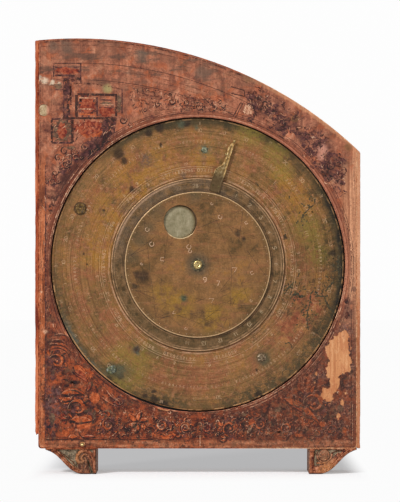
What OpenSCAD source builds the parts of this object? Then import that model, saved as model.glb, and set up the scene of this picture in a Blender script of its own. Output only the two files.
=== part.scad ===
// Horary quadrant: a standing board with a curved top, two bracket feet, and a brass calendar
// plate let into its face, on which an age-of-the-moon disc and a lunar disc turn on one post.
// The board faces -Y, stands on Z = 0 and is centred on X = 0; the two discs turn about Y.

/* [Board] */
// Width of the board between its two edge laths
board_w = 216.8; // [204:0.2:236]
// Thickness of the board, front to back
board_t = 18; // [15:0.5:24]
// Radius of the curved top edge
top_arc_r = 278.2; // [272:0.2:300]
// Distance of the top curve's centre from the board's left edge
top_arc_inset = 26.3; // [22:0.1:30]
// Height of the top curve's centre above the board's bottom edge
top_arc_rise = 0.7; // [0:0.1:6]
// Radius worn onto the board's bottom corners
bottom_corner_r = 2.2; // [1:0.2:4]
// Thickness of the printed paper facing with its varnish
facing_t = 0.3; // [0.2:0.05:0.6]
// Bare margin of the board outside the facing
facing_margin = 0.6; // [0.2:0.1:2]
// Width of the worn patch near the right edge where the facing is lost
loss_w = 20.6; // [12:0.2:22]
// Height of the worn patch
loss_h = 51.7; // [36:0.5:54]
// Distance of the worn patch from the board's right edge
loss_inset = 3.9; // [2:0.1:6]
// Height of the worn patch's lower end above the board's bottom edge
loss_rise = 29.7; // [24:0.1:34]

/* [Edge laths] */
// Width of the thin lath glued on each upright edge
lath_w = 2.2; // [1.4:0.1:4]
// Height above the board's bottom edge at which the left lath is broken off
lath_break_rise = 9; // [4:0.5:20]

/* [Edge plug] */
// Radius of the wooden plug near the left edge
plug_r = 4; // [2.5:0.1:4.6]
// Length of the plug
plug_l = 8; // [5:0.5:12]
// Distance of the plug's centre from the outer side of the left lath
plug_inset = 6; // [5.4:0.1:9]
// Height of the plug's centre above the board's bottom edge
plug_rise = 230; // [200:1:240]

/* [Feet] */
// Height of the bracket feet
foot_h = 17.5; // [14:0.5:24]
// Width of a foot along the board
foot_w = 34.5; // [30:0.5:44]
// Depth of a foot, front to back
foot_depth = 36; // [32:1:60]
// Width of the flat toe that a foot stands on
toe_w = 10.5; // [8:0.5:13]
// Height of the foot's outer end where it meets the board
foot_edge_h = 0.9; // [0.5:0.1:2]
// Swell of the curved underside away from a straight slope
cyma_swell = 1.4; // [0.4:0.1:2]
// Distance of the left foot from the board's left edge
left_foot_inset = 4.8; // [1:0.2:12]
// Distance of the right foot from the board's right edge
right_foot_inset = 0.2; // [0:0.2:12]
// Width of the raised strap along the foot's curve
strap_w = 3.4; // [2:0.1:4.5]
// Width of the raised upright along the foot's inner side
upright_w = 4.3; // [3:0.1:6]
// Depth of the carved ground behind the straps
carve_depth = 1.8; // [1:0.1:3]
// Radius of the carved volute
volute_r = 5; // [3.5:0.1:5.6]
// How far the volute runs into the upright and into the edge under the board
volute_lap = 0.7; // [0.3:0.1:1.5]
// Radius of the glued dowels that hold the feet
dowel_r = 2.5; // [1.5:0.1:3]
// Length of a dowel inside the foot
dowel_foot_l = 7; // [4:0.5:8]
// Length of a dowel inside the board
dowel_board_l = 12; // [8:0.5:16]
// Distance between a foot's two dowels
dowel_pitch = 12; // [9:0.5:13]
// Distance of the inner dowel from the foot's inner side
dowel_inset = 4.5; // [3.5:0.1:5.5]

/* [Apex pin] */
// Radius of the brass pin at the quadrant's apex
apex_pin_r = 0.9; // [0.6:0.1:1.6]
// Radius of the pin's round head
apex_head_r = 1.3; // [1:0.1:2]
// Length of the pin inside the board
apex_pin_l = 5.5; // [4:0.1:6]
// Radius of the ring around the pin where the facing is cut away
apex_ring_r = 1.9; // [1.4:0.1:3]
// Distance of the pin from the board's left edge
apex_inset = 29.9; // [24:0.1:36]
// Height of the pin above the board's bottom edge
apex_rise = 2.8; // [2.4:0.1:6]

/* [Calendar plate] */
// Width of the board's rim beside the recess at each side
rim_w = 8; // [7:0.1:12]
// Thickness of the calendar plate
plate_t = 1.2; // [0.8:0.1:1.6]
// Gap between the plate's edge and the board
recess_gap = 0.8; // [0.3:0.1:1.4]
// Depth of the round recess in the board
recess_d = 2.4; // [1.8:0.1:3.5]
// Height of the dial's centre above the board's bottom edge
dial_rise = 125; // [122:0.5:130]
// Radius of the nail shanks
nail_r = 0.9; // [0.5:0.1:1.2]
// Length of the nails behind the plate
nail_l = 11; // [6:0.5:12]
// Height of the nail heads
nail_head_h = 0.7; // [0.4:0.1:0.9]

/* [Turning discs] */
// Radius of the age-of-the-moon disc
age_r = 58.8; // [57:0.2:61]
// Thickness of the age-of-the-moon disc
age_t = 1.2; // [0.9:0.1:1.8]
// Radius of the lunar disc
lunar_r = 49.6; // [47:0.2:49.8]
// Thickness of the lunar disc
lunar_t = 1.2; // [0.8:0.1:1.8]
// Width of the bevel around each disc
bevel_w = 0.6; // [0.2:0.1:0.8]
// Radius of the round window in the lunar disc
window_r = 11.2; // [9:0.1:13]
// Distance of the window and the moon roundel from the dial's centre
window_offset = 31.5; // [28:0.1:34]
// Angle of the window at rest, left of upright
window_angle = 22; // [0:1:90]
// Radius of the silvered moon roundel
roundel_r = 11.6; // [9:0.1:12.6]
// Thickness of the moon roundel, let into the age disc
roundel_t = 0.5; // [0.3:0.1:0.7]
// Angle of the moon roundel at rest, left of upright
roundel_angle = 24.4; // [0:0.2:90]

/* [Sun index] */
// Angle of the index's straight edge at rest, right of upright
index_angle = 16.9; // [0:0.1:90]
// Thickness of the sun index
index_t = 1; // [0.8:0.1:1.3]
// Distance of the index's ball tip from the dial's centre
index_tip = 87.5; // [80:0.5:94]
// Width of the index's blade
blade_w = 3.3; // [1.2:0.1:4.4]
// Length over which the blade tapers to its tip
taper_l = 5.5; // [3:0.5:7]
// Width of the index's root
root_w = 7.6; // [5:0.1:9]
// Gap between the index's root and the lunar disc
root_gap = 1.2; // [0.6:0.1:2]
// Distance beyond the age disc's edge at which the root starts to narrow
root_l = 6.7; // [1:0.1:9]
// Length over which the root narrows into the blade
flare_l = 5.5; // [4:0.5:14]
// Radius of the ball at the tip
ball_r = 0.8; // [0.6:0.1:1.2]
// Radius of the knob beside the blade
knob_r = 0.8; // [0.6:0.1:1.2]
// Distance of the knob beyond the end of the flare
knob_rise = 6.6; // [1.5:0.1:8]
// Radius of the rivets that hold the index to the age disc
rivet_r = 0.7; // [0.5:0.1:1]

/* [Post] */
// Radius of the brass post
post_r = 2.2; // [1.6:0.1:2.6]
// Radius of the post's dished head
head_r = 3; // [2.8:0.1:3.6]
// Height of the post's head
head_h = 1.3; // [0.8:0.1:2]
// Radius of the washers and of the rove behind the board
washer_r = 4.6; // [4:0.1:6]
// Thickness of the washer under the post's head
head_washer_t = 0.5; // [0.4:0.05:1]
// Thickness of the thin washers between the discs
spacer_t = 0.35; // [0.25:0.05:0.6]
// Thickness of the rove behind the board
rove_t = 1.2; // [0.8:0.1:2]
// Radius of the clearance pocket for the rove in the board's back
pocket_r = 6.5; // [6.2:0.1:9]
// Depth of the clearance pocket
pocket_d = 4; // [3.6:0.1:6]

/* [Clearances] */
// Gap between each turning disc and the washer beside it
disc_play = 0.05; // [0.03:0.01:0.1]
// Radial gap between a disc's bore and the post
running_fit = 0.06; // [0.03:0.01:0.1]
// Radial gap around pins, nails, dowels and plugs
seat_fit = 0.05; // [0.02:0.01:0.1]
// Gap left beyond the end of each pin, nail, dowel and plug
end_gap = 0.3; // [0.1:0.1:1]

/* [Hidden] */

// Segments of small rounds and of the large arcs
$fn = 96;
big_fn = 360;
// Steps along the foot's curve and along the index's flare
curve_steps = 16;
// Overshoot of each cut past the face that it opens
cut = 1;

// Levels of the dial's layers, measured outwards from the plate's front face
age_lift = spacer_t + disc_play;
upper_spacer_lift = age_lift + age_t + disc_play;
lunar_lift = upper_spacer_lift + spacer_t + disc_play;
washer_lift = lunar_lift + lunar_t + disc_play;
head_lift = washer_lift + head_washer_t;
index_lift = age_lift + age_t;
plate_sink = recess_d - plate_t;
pocket_lift = plate_sink - board_t + pocket_d;
rove_lift = pocket_lift - rove_t;
tail_h = head_h;

// The frame's Y = 0 lies midway between the post's head and the backs of the feet
head_reach = head_lift + head_h - plate_sink;
board_y = (head_reach - foot_depth) / 2;
plate_y = board_y + plate_sink;
dial_z = foot_h + dial_rise;

// Edges of the board
board_left = -board_w / 2;
board_right = board_w / 2;
recess_r = board_w / 2 - rim_w;
plate_r = recess_r - recess_gap;
arc_x = board_left + top_arc_inset;
arc_z = foot_h + top_arc_rise;
apex_x = board_left + apex_inset;
apex_z = foot_h + apex_rise;
plug_x = board_left - lath_w + plug_inset;
plug_z = foot_h + plug_rise;

// Nails through the plate: [clock angle, distance in from the plate's rim, head radius]
NAILS = [[3.4, 21.4, 2.3], [145.5, 22.8, 3.2], [219.3, 7.2, 3.6], [295.5, 11.2, 3.8]];

// The worn patch's outline as shares of its width and height, clockwise from its lowest flake
LOSS = [
    [0.25, 0], [0.07, 0.06], [0, 0.2], [0.22, 0.21], [0.28, 0.35], [0.15, 0.39], [0.2, 0.53],
    [0.15, 0.71], [0.25, 0.83], [0.4, 0.91], [0.68, 0.97], [0.78, 1], [0.94, 0.89], [1, 0.61],
    [0.98, 0.48], [0.78, 0.41], [0.54, 0.37], [0.58, 0.23], [0.43, 0.15]
];

// Foot: the underside falls from the outer end to the toe as an ogee
cyma_w = foot_w - toe_w;
cyma_top = foot_h - foot_edge_h;
function cyma(t) = [t * cyma_w, cyma_top * (1 - t) + cyma_swell * sin(360 * t)];
function cyma_slope(t) = [cyma_w, -cyma_top + 2 * PI * cyma_swell * cos(360 * t)];
function strap_edge(t) = cyma(t) + strap_w / norm(cyma_slope(t)) * [-cyma_slope(t)[1], cyma_slope(t)[0]];
volute_x = foot_w - upright_w - volute_r + volute_lap;
volute_z = foot_h - foot_edge_h - volute_r + volute_lap;

// Index: its root lies on the rim of the age disc, clear of the lunar disc
root_start = lunar_r + root_gap;
flare_start = age_r + root_l;
knob_v = flare_start + flare_l + knob_rise;
rivet_v = (root_start + age_r) / 2;
// The blade's taper: [distance from the dial's centre, share of the blade's width]
TAPER = [[index_tip - taper_l, 1], [index_tip - taper_l / 2, 0.85], [index_tip - ball_r / 2, 0.45]];
function blade_edge(v) = -blade_w * lookup(v, TAPER);
function flare(t) = [blade_w + (root_w - blade_w) * (1 + cos(180 * t)) / 2, flare_start + flare_l * t];

// Stands a flat outline up in the XZ plane, from y_front backwards
module upright(y_front, depth) {
    translate([0, y_front + depth, 0])
        rotate([90, 0, 0])
            linear_extrude(depth)
                children();
}

// Round bar along Y, from y_front backwards
module bar(x, z, y_front, depth, r) {
    translate([x, y_front + depth, z])
        rotate([90, 0, 0])
            cylinder(h = depth, r = r);
}

// Places turned or flat work on the dial: its Z points out of the plate's front face
module on_dial(lift = 0) {
    translate([0, plate_y - lift, dial_z])
        rotate([90, 0, 0])
            children();
}

// Turns the dial's work so that its upright direction points at a clock angle
module at_clock(angle) {
    rotate([0, 0, -angle])
        children();
}

module board_outline(margin = 0) {
    low = foot_h + margin;
    difference() {
        intersection() {
            translate([board_left + margin, low])
                square([board_w - 2 * margin, top_arc_rise + top_arc_r]);
            translate([arc_x, arc_z])
                circle(r = top_arc_r - margin, $fn = big_fn);
        }
        translate([board_left + margin, low])
            corner_waste();
        translate([board_right - margin, low])
            mirror([1, 0])
                corner_waste();
    }
}

// What wear has taken off a square corner at the origin
module corner_waste() {
    difference() {
        translate([-cut, -cut])
            square(bottom_corner_r + cut);
        translate([bottom_corner_r, bottom_corner_r])
            circle(r = bottom_corner_r);
    }
}

module loss_outline() {
    translate([board_right - loss_inset - loss_w, foot_h + loss_rise])
        polygon([for (p = LOSS) [p[0] * loss_w, p[1] * loss_h]]);
}

module plug_hole(y_front) {
    bar(plug_x, plug_z, y_front, plug_l + end_gap, plug_r + seat_fit);
}

// Runs its children at each dowel's place, in the board's X and the dowels' common Z
module at_dowels() {
    inner_left = board_left + left_foot_inset + foot_w;
    inner_right = board_right - right_foot_inset - foot_w;
    for (i = [0, 1]) {
        translate([inner_left - dowel_inset - i * dowel_pitch, board_y + board_t / 2, foot_h])
            children();
        translate([inner_right + dowel_inset + i * dowel_pitch, board_y + board_t / 2, foot_h])
            children();
    }
}

module dowel_hole() {
    translate([0, 0, -dowel_foot_l - end_gap])
        cylinder(h = dowel_foot_l + dowel_board_l + 2 * end_gap, r = dowel_r + seat_fit);
}

// Runs its children at each nail, with the nail's head radius in $head
module at_nails() {
    for (n = NAILS) {
        $head = n[2];
        at_clock(n[0])
            translate([0, plate_r - n[1], 0])
                children();
    }
}

module panel() {
    color("peru")
        difference() {
            upright(board_y, board_t)
                board_outline();
            bar(0, dial_z, board_y - cut, recess_d + cut, recess_r, $fn = big_fn);
            bar(0, dial_z, board_y, board_t + cut, post_r + seat_fit);
            bar(0, dial_z, board_y + board_t - pocket_d, pocket_d + cut, pocket_r);
            on_dial(-plate_t - nail_l - end_gap)
                at_nails()
                    cylinder(h = nail_l + end_gap + plate_t, r = nail_r + seat_fit);
            plug_hole(board_y);
            at_dowels()
                dowel_hole();
            bar(apex_x, apex_z, board_y, apex_pin_l + end_gap, apex_pin_r + seat_fit);
        }
}

module printed_facing() {
    color("firebrick")
        difference() {
            upright(board_y - facing_t, facing_t)
                difference() {
                    board_outline(facing_margin);
                    loss_outline();
                }
            bar(0, dial_z, board_y - cut, 2 * cut, recess_r, $fn = big_fn);
            bar(apex_x, apex_z, board_y - cut, 2 * cut, apex_ring_r);
            plug_hole(board_y - facing_t);
        }
}

module lath_outline(x, low) {
    intersection() {
        translate([x, low])
            square([lath_w, top_arc_r]);
        translate([arc_x, arc_z])
            circle(r = top_arc_r, $fn = big_fn);
    }
}

module left_edge_lath() {
    color("sienna")
        difference() {
            upright(board_y, board_t)
                lath_outline(board_left - lath_w, foot_h + lath_break_rise);
            plug_hole(board_y);
        }
}

module right_edge_lath() {
    color("sienna")
        upright(board_y, board_t)
            lath_outline(board_right, foot_h);
}

module edge_plug() {
    color("tan")
        bar(plug_x, plug_z, board_y - facing_t, plug_l, plug_r);
}

// Outline of the left foot, with its outer top corner above the origin
module foot_outline() {
    polygon(concat(
        [for (i = [0 : curve_steps]) cyma(i / curve_steps)],
        [[foot_w, 0], [foot_w, foot_h], [0, foot_h]]
    ));
}

// The carved ground between the strap, the upright and the volute
module foot_ground() {
    difference() {
        intersection() {
            polygon(concat(
                [for (i = [0 : curve_steps - 3]) strap_edge(i / curve_steps)],
                [[foot_w - upright_w, strap_w], [foot_w - upright_w, foot_h + strap_w]]
            ));
            square([foot_w, foot_h - foot_edge_h]);
        }
        translate([volute_x, volute_z])
            circle(r = volute_r);
    }
}

module foot() {
    difference() {
        upright(board_y, foot_depth)
            foot_outline();
        upright(board_y - cut, carve_depth + cut)
            foot_ground();
    }
}

module left_foot() {
    color("saddlebrown")
        difference() {
            translate([board_left + left_foot_inset, 0, 0])
                foot();
            at_dowels()
                dowel_hole();
        }
}

module right_foot() {
    color("saddlebrown")
        difference() {
            translate([board_right - right_foot_inset, 0, 0])
                mirror([1, 0, 0])
                    foot();
            at_dowels()
                dowel_hole();
        }
}

module foot_dowels() {
    color("burlywood")
        at_dowels()
            translate([0, 0, -dowel_foot_l])
                cylinder(h = dowel_foot_l + dowel_board_l, r = dowel_r);
}

// The apex pin runs from its tip in the board to its round head in front
module apex_pin() {
    head_y = facing_t + apex_head_r;
    color("gold") {
        bar(apex_x, apex_z, board_y - head_y, head_y + apex_pin_l, apex_pin_r);
        translate([apex_x, board_y - head_y, apex_z])
            sphere(r = apex_head_r);
    }
}

module calendar_plate() {
    color("darkgoldenrod")
        on_dial(-plate_t)
            difference() {
                cylinder(h = plate_t, r = plate_r, $fn = big_fn);
                translate([0, 0, -cut])
                    cylinder(h = plate_t + 2 * cut, r = post_r + seat_fit);
                translate([0, 0, -cut])
                    at_nails()
                        cylinder(h = plate_t + 2 * cut, r = nail_r + seat_fit);
            }
}

// A nail with a low domed head whose underside is at Z = 0
module nail(head) {
    ease = nail_head_h / 2;
    rotate_extrude()
        polygon([
            [0, -plate_t - nail_l], [nail_r, -plate_t - nail_l + nail_r], [nail_r, 0],
            [head, 0], [head, nail_head_h - ease], [head - 2 * ease, nail_head_h], [0, nail_head_h]
        ]);
}

module plate_nails() {
    color("slategray")
        on_dial()
            at_nails()
                nail($head);
}

// A flat disc with a bevelled front edge and a bore for the post
module bevelled_disc(r, thickness) {
    bevel_h = bevel_w / 2;
    rotate_extrude($fn = big_fn)
        polygon([
            [post_r + running_fit, 0], [r, 0], [r, thickness - bevel_h],
            [r - bevel_w, thickness], [post_r + running_fit, thickness]
        ]);
}

// Runs its children at the rivets, on the index's root
module at_rivets() {
    at_clock(index_angle)
        for (u = [0.25, 0.75])
            translate([-root_w * u, rivet_v, 0])
                children();
}

module age_disc() {
    color("olivedrab")
        on_dial(age_lift)
            difference() {
                bevelled_disc(age_r, age_t);
                at_clock(-roundel_angle)
                    translate([0, window_offset, age_t - roundel_t])
                        cylinder(h = roundel_t + cut, r = roundel_r + seat_fit);
                at_rivets()
                    translate([0, 0, -cut])
                        cylinder(h = age_t + 2 * cut, r = rivet_r + seat_fit);
            }
}

module moon_roundel() {
    color("silver")
        on_dial(age_lift + age_t - roundel_t)
            at_clock(-roundel_angle)
                translate([0, window_offset, 0])
                    cylinder(h = roundel_t, r = roundel_r);
}

// The index's outline: X runs right of its straight edge, Y runs outwards from the dial's centre
module index_outline() {
    polygon(concat(
        [[0, root_start], [0, TAPER[2][0]]],
        [for (i = [2 : -1 : 0]) [blade_edge(TAPER[i][0]), TAPER[i][0]]],
        [for (i = [curve_steps : -1 : 0]) [-flare(i / curve_steps)[0], flare(i / curve_steps)[1]]],
        [[-root_w, root_start]]
    ));
}

module sun_index() {
    color("gold")
        on_dial(index_lift)
            difference() {
                at_clock(index_angle) {
                    linear_extrude(index_t)
                        index_outline();
                    translate([-ball_r * 0.4, index_tip, ball_r])
                        sphere(r = ball_r);
                    translate([blade_edge(knob_v), knob_v, 0])
                        cylinder(h = index_t, r = knob_r);
                }
                at_rivets()
                    translate([0, 0, -cut])
                        cylinder(h = index_t + 2 * cut, r = rivet_r + seat_fit);
            }
}

module index_rivets() {
    color("goldenrod")
        on_dial(age_lift)
            at_rivets()
                cylinder(h = age_t + index_t, r = rivet_r);
}

module lunar_disc() {
    color("chocolate")
        on_dial(lunar_lift)
            difference() {
                bevelled_disc(lunar_r, lunar_t);
                at_clock(-window_angle)
                    translate([0, window_offset, -cut])
                        cylinder(h = lunar_t + 2 * cut, r = window_r);
            }
}

// The post runs from the rove behind the board to its dished head in front
module pivot_post() {
    dish_r = head_r * 0.55;
    dish_d = head_h * 0.35;
    edge_h = head_h * 0.5;
    color("gold")
        on_dial()
            rotate_extrude()
                polygon([
                    [0, rove_lift - tail_h], [head_r - edge_h, rove_lift - tail_h],
                    [head_r, rove_lift - edge_h], [head_r, rove_lift], [post_r, rove_lift],
                    [post_r, head_lift], [head_r, head_lift], [head_r, head_lift + edge_h],
                    [(head_r + dish_r) / 2, head_lift + head_h], [dish_r, head_lift + head_h - dish_d],
                    [0, head_lift + head_h - dish_d]
                ]);
}

// A flat washer around the post
module washer(lift, thickness) {
    on_dial(lift)
        difference() {
            cylinder(h = thickness, r = washer_r);
            translate([0, 0, -cut])
                cylinder(h = thickness + 2 * cut, r = post_r + seat_fit);
        }
}

module head_washer() {
    color("khaki")
        washer(washer_lift, head_washer_t);
}

module lower_spacer() {
    color("khaki")
        washer(0, spacer_t);
}

module upper_spacer() {
    color("khaki")
        washer(upper_spacer_lift, spacer_t);
}

module rear_rove() {
    color("khaki")
        washer(rove_lift, rove_t);
}

panel();
printed_facing();
left_edge_lath();
right_edge_lath();
edge_plug();
left_foot();
right_foot();
foot_dowels();
apex_pin();
calendar_plate();
plate_nails();
age_disc();
moon_roundel();
sun_index();
index_rivets();
lunar_disc();
pivot_post();
head_washer();
lower_spacer();
upper_spacer();
rear_rove();
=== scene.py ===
"""Looks of a standing wooden quadrant board with a brass calendar dial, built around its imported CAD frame."""

import math
import random

import bmesh
import bpy
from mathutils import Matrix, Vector, noise


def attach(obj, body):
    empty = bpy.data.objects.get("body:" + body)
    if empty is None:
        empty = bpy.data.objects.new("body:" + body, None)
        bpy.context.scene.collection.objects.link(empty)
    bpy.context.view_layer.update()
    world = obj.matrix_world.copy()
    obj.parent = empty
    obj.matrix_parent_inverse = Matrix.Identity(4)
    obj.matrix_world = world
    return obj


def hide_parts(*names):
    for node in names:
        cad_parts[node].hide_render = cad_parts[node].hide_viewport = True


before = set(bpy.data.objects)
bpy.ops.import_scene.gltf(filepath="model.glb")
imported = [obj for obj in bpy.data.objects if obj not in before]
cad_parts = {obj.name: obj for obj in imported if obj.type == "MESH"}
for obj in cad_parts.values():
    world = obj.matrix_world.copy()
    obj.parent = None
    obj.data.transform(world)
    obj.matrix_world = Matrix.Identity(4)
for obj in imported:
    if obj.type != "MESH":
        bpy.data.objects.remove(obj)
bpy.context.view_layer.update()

# Places in the frame, in millimetres, with the clock angle of the index
MM = 0.001
DIAL_Z = 142.5
DIAL = (0, DIAL_Z)
WOOD_Y, FACING_Y, RECESS_Y, PLATE_Y, AGE_Y, LUNAR_Y, BACK_Y = -16.05, -16.35, -13.65, -14.85, -16.45, -18.1, 1.95
BOARD_LEFT, BOARD_RIGHT, BOARD_LOW = -108.4, 108.4, 17.5
ARC_X, ARC_Z, ARC_R = -82.1, 18.2, 278.2
RECESS_R, PLATE_R, AGE_R, LUNAR_R, POST_R = 100.4, 99.6, 58.8, 49.6, 2.26
APEX = (-78.5, 20.3)
PLUG = (-104.6, 247.5)
FOOT_DEPTH = 36
INDEX_CLOCK, INDEX_ROOT, INDEX_TIP = 16.9, 50.8, 86.9

# Light that a glossy finish adds to its colour in this studio
SHEEN = 0.02
# Degrees in a radian, as the shaders count them
RADIAN = 57.29578
# Points nearer than this are one, in metres
WELD = 1e-7


def srgb(red, green, blue):
    """The colour that a finish needs to be seen as red, green and blue from 0 to 255, in linear light."""
    def linear(c):
        c /= 255
        seen = c / 12.92 if c <= 0.04045 else ((c + 0.055) / 1.055) ** 2.4
        return max(0.003, seen - SHEEN)
    return (linear(red), linear(green), linear(blue), 1)


def sine(degrees):
    return math.sin(math.radians(degrees))


def cosine(degrees):
    return math.cos(math.radians(degrees))


def waver(x, y, z):
    """Smooth noise at a place, from about -1 to 1."""
    return noise.noise(Vector((x, y, z)))


def on_dial(radius, clock, cx=0, cz=DIAL_Z):
    """X and Z at a radius and a clock angle in degrees from a centre."""
    return (cx + radius * sine(clock), cz + radius * cosine(clock))


# The window in the lunar disc and the silvered roundel that it shows
WINDOW_X, WINDOW_Z = on_dial(31.5, -22)
WINDOW_R = 11.2
ROUNDEL_X, ROUNDEL_Z = on_dial(31.5, -24.4)
ROUNDEL_R = 11.6


# Meshes

def linked(name, data):
    """A new object in the scene."""
    made = bpy.data.objects.new(name, data)
    bpy.context.scene.collection.objects.link(made)
    return made


def keep_piece(name, mesh, body, replaces=()):
    piece = linked(name, mesh)
    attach(piece, body)
    if replaces:
        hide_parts(*replaces)
    return piece


def make_object(name, verts, faces, material, body, smooth=False, replaces=()):
    """A piece from vertices in millimetres, riding on a body."""
    mesh = bpy.data.meshes.new(name)
    mesh.from_pydata([(x * MM, y * MM, z * MM) for x, y, z in verts], [], faces)
    mesh.validate()
    mesh.materials.append(material)
    if smooth:
        for p in mesh.polygons:
            p.use_smooth = True
    return keep_piece(name, mesh, body, replaces)


def mend(mesh, weld=True):
    """Turns the faces outwards, with points that lie together welded into one."""
    work = bmesh.new()
    work.from_mesh(mesh)
    if weld:
        bmesh.ops.remove_doubles(work, verts=work.verts, dist=WELD)
    bmesh.ops.recalc_face_normals(work, faces=work.faces)
    work.to_mesh(mesh)
    work.free()


def refinish(node, material):
    """Gives a CAD node that keeps its shape a better material."""
    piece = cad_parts[node]
    piece.data.materials.clear()
    piece.data.materials.append(material)
    return piece


def bevel_edges(piece, width, angle=40):
    m = piece.modifiers.new("worn_edges", "BEVEL")
    m.width = width * MM
    m.segments = 2
    m.limit_method = "ANGLE"
    m.angle_limit = math.radians(angle)
    m.harden_normals = False


def slab(name, loops, y_front, y_back, bevel, material, body, replaces=()):
    """A flat sheet with holes and rounded edges: the first loop is its outline, each loop a list of (x, z)."""
    curve = bpy.data.curves.new(name, "CURVE")
    curve.dimensions = "2D"
    curve.fill_mode = "BOTH"
    for loop in loops:
        spline = curve.splines.new("POLY")
        spline.points.add(len(loop) - 1)
        for point, (x, z) in zip(spline.points, loop):
            point.co = (x, z, 0, 1)
        spline.use_cyclic_u = True
    curve.bevel_depth = bevel
    curve.bevel_resolution = 2
    curve.offset = -bevel
    curve.extrude = (y_back - y_front) / 2 - bevel
    draft = linked(name + "_draft", curve)
    bpy.context.view_layer.update()
    mesh = bpy.data.meshes.new_from_object(draft.evaluated_get(bpy.context.evaluated_depsgraph_get()))
    bpy.data.objects.remove(draft)
    middle = (y_front + y_back) / 2
    for v in mesh.vertices:
        x, z, out = v.co
        v.co = (x * MM, (middle - out) * MM, z * MM)
    mesh.name = name
    mesh.materials.clear()
    mesh.materials.append(material)
    mend(mesh)
    return keep_piece(name, mesh, body, replaces)


def middle_of(points):
    return sum(x for x, _ in points) / len(points), sum(z for _, z in points) / len(points)


def neighbours(points, i):
    """The run from the point before to the point after, and its length."""
    ax, az = points[max(i - 1, 0)]
    bx, bz = points[min(i + 1, len(points) - 1)]
    return bx - ax, bz - az, math.hypot(bx - ax, bz - az) or 1


def for_each(widths, points):
    return widths if hasattr(widths, "__len__") else [widths] * len(points)


def ribbons(name, lines, y, height, material, body):
    """Low closed strips lying on a face: each line is (points, widths), one width or one for each point.

    With None for widths the points are the outline of a patch.
    """
    verts, faces = [], []
    for order, (points, widths) in enumerate(lines):
        n = len(points)
        if n < 2:
            continue
        # Strips that cross lie a little above each other
        top = y - height - 0.0004 * (order % 16)
        start = len(verts)
        if widths is None:
            mx, mz = middle_of(points)
            verts += [(x, y, z) for x, z in points]
            verts += [(mx + (x - mx) * 0.96, top, mz + (z - mz) * 0.96) for x, z in points]
            verts += [(mx, y, mz), (mx, top, mz)]
            for i in range(n):
                a, b = start + i, start + (i + 1) % n
                faces += [(a, b, b + n, a + n), (a + n, b + n, start + 2 * n + 1), (b, a, start + 2 * n)]
            continue
        widths = for_each(widths, points)
        for i, (x, z) in enumerate(points):
            dx, dz, length = neighbours(points, i)
            px, pz = -dz / length, dx / length
            w = max(widths[i], 0.04) / 2
            verts += [(x + px * w, y, z + pz * w), (x - px * w, y, z - pz * w),
                (x - px * w * 0.8, top, z - pz * w * 0.8), (x + px * w * 0.8, top, z + pz * w * 0.8)]
        for a in range(start, start + 4 * (n - 1), 4):
            for k in range(4):
                m = (k + 1) % 4
                faces.append((a + k, a + m, a + 4 + m, a + 4 + k))
        faces.append((start + 3, start + 2, start + 1, start))
        end = start + 4 * (n - 1)
        faces.append((end, end + 1, end + 2, end + 3))
    return make_object(name, verts, faces, material, body)


def lathe(name, profile, centre, material, body, steps=96, replaces=(), wobble=None, smooth=False):
    """A turned piece facing -Y: the profile is (radius, y) from the axis at the front to the axis at the back."""
    cx, cz = centre
    verts, faces = [], []
    inner = [p for p in profile if p[0] > 0]
    for k in range(steps):
        a = 360 * k / steps
        for r, y in inner:
            rr, yy = (r, y) if wobble is None else wobble(r, y, a)
            x, z = on_dial(rr, a, cx, cz)
            verts.append((x, yy, z))
    m = len(inner)
    for k in range(steps):
        a, b = k * m, (k + 1) % steps * m
        for i in range(m - 1):
            faces.append((a + i, b + i, b + i + 1, a + i + 1))
    for index, y in ((0, profile[0][1]), (m - 1, profile[-1][1])):
        tip = len(verts)
        verts.append((cx, y, cz))
        for k in range(steps):
            a, b = k * m + index, (k + 1) % steps * m + index
            faces.append((tip, b, a) if index == 0 else (tip, a, b))
    piece = make_object(name, verts, faces, material, body, smooth=smooth, replaces=replaces)
    mend(piece.data, weld=False)
    return piece


# Materials

class Shader:
    """A node tree in the making."""

    def __init__(self, owner):
        owner.use_nodes = True
        self.tree = owner.node_tree

    def put(self, socket, value):
        if isinstance(value, bpy.types.NodeSocket):
            self.tree.links.new(value, socket)
        elif value is not None:
            socket.default_value = value

    def add(self, kind, *values, **named):
        """A shader node with its first inputs in order, and others by name."""
        node = self.tree.nodes.new("ShaderNode" + kind)
        for key, value in list(enumerate(values)) + list(named.items()):
            self.put(node.inputs[key], value)
        return node

    def math(self, operation, a, b=None, clamp=False):
        node = self.add("Math", a, b)
        node.operation = operation
        node.use_clamp = clamp
        return node.outputs[0]

    def times(self, *values):
        out = values[0]
        for v in values[1:]:
            out = self.math("MULTIPLY", out, v)
        return out

    def vector(self, operation, a, b=None, scale=None):
        node = self.add("VectorMath", a, b)
        node.operation = operation
        if scale is not None:
            self.put(node.inputs["Scale"], scale)
        return node.outputs["Value" if operation == "DISTANCE" else "Vector"]

    def level(self, value, low, high, to_low=0, to_high=1):
        """The value stretched smoothly from low..high to to_low..to_high."""
        node = self.add("MapRange", value, low, high, to_low, to_high)
        node.interpolation_type = "SMOOTHSTEP"
        return node.outputs["Result"]


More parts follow.
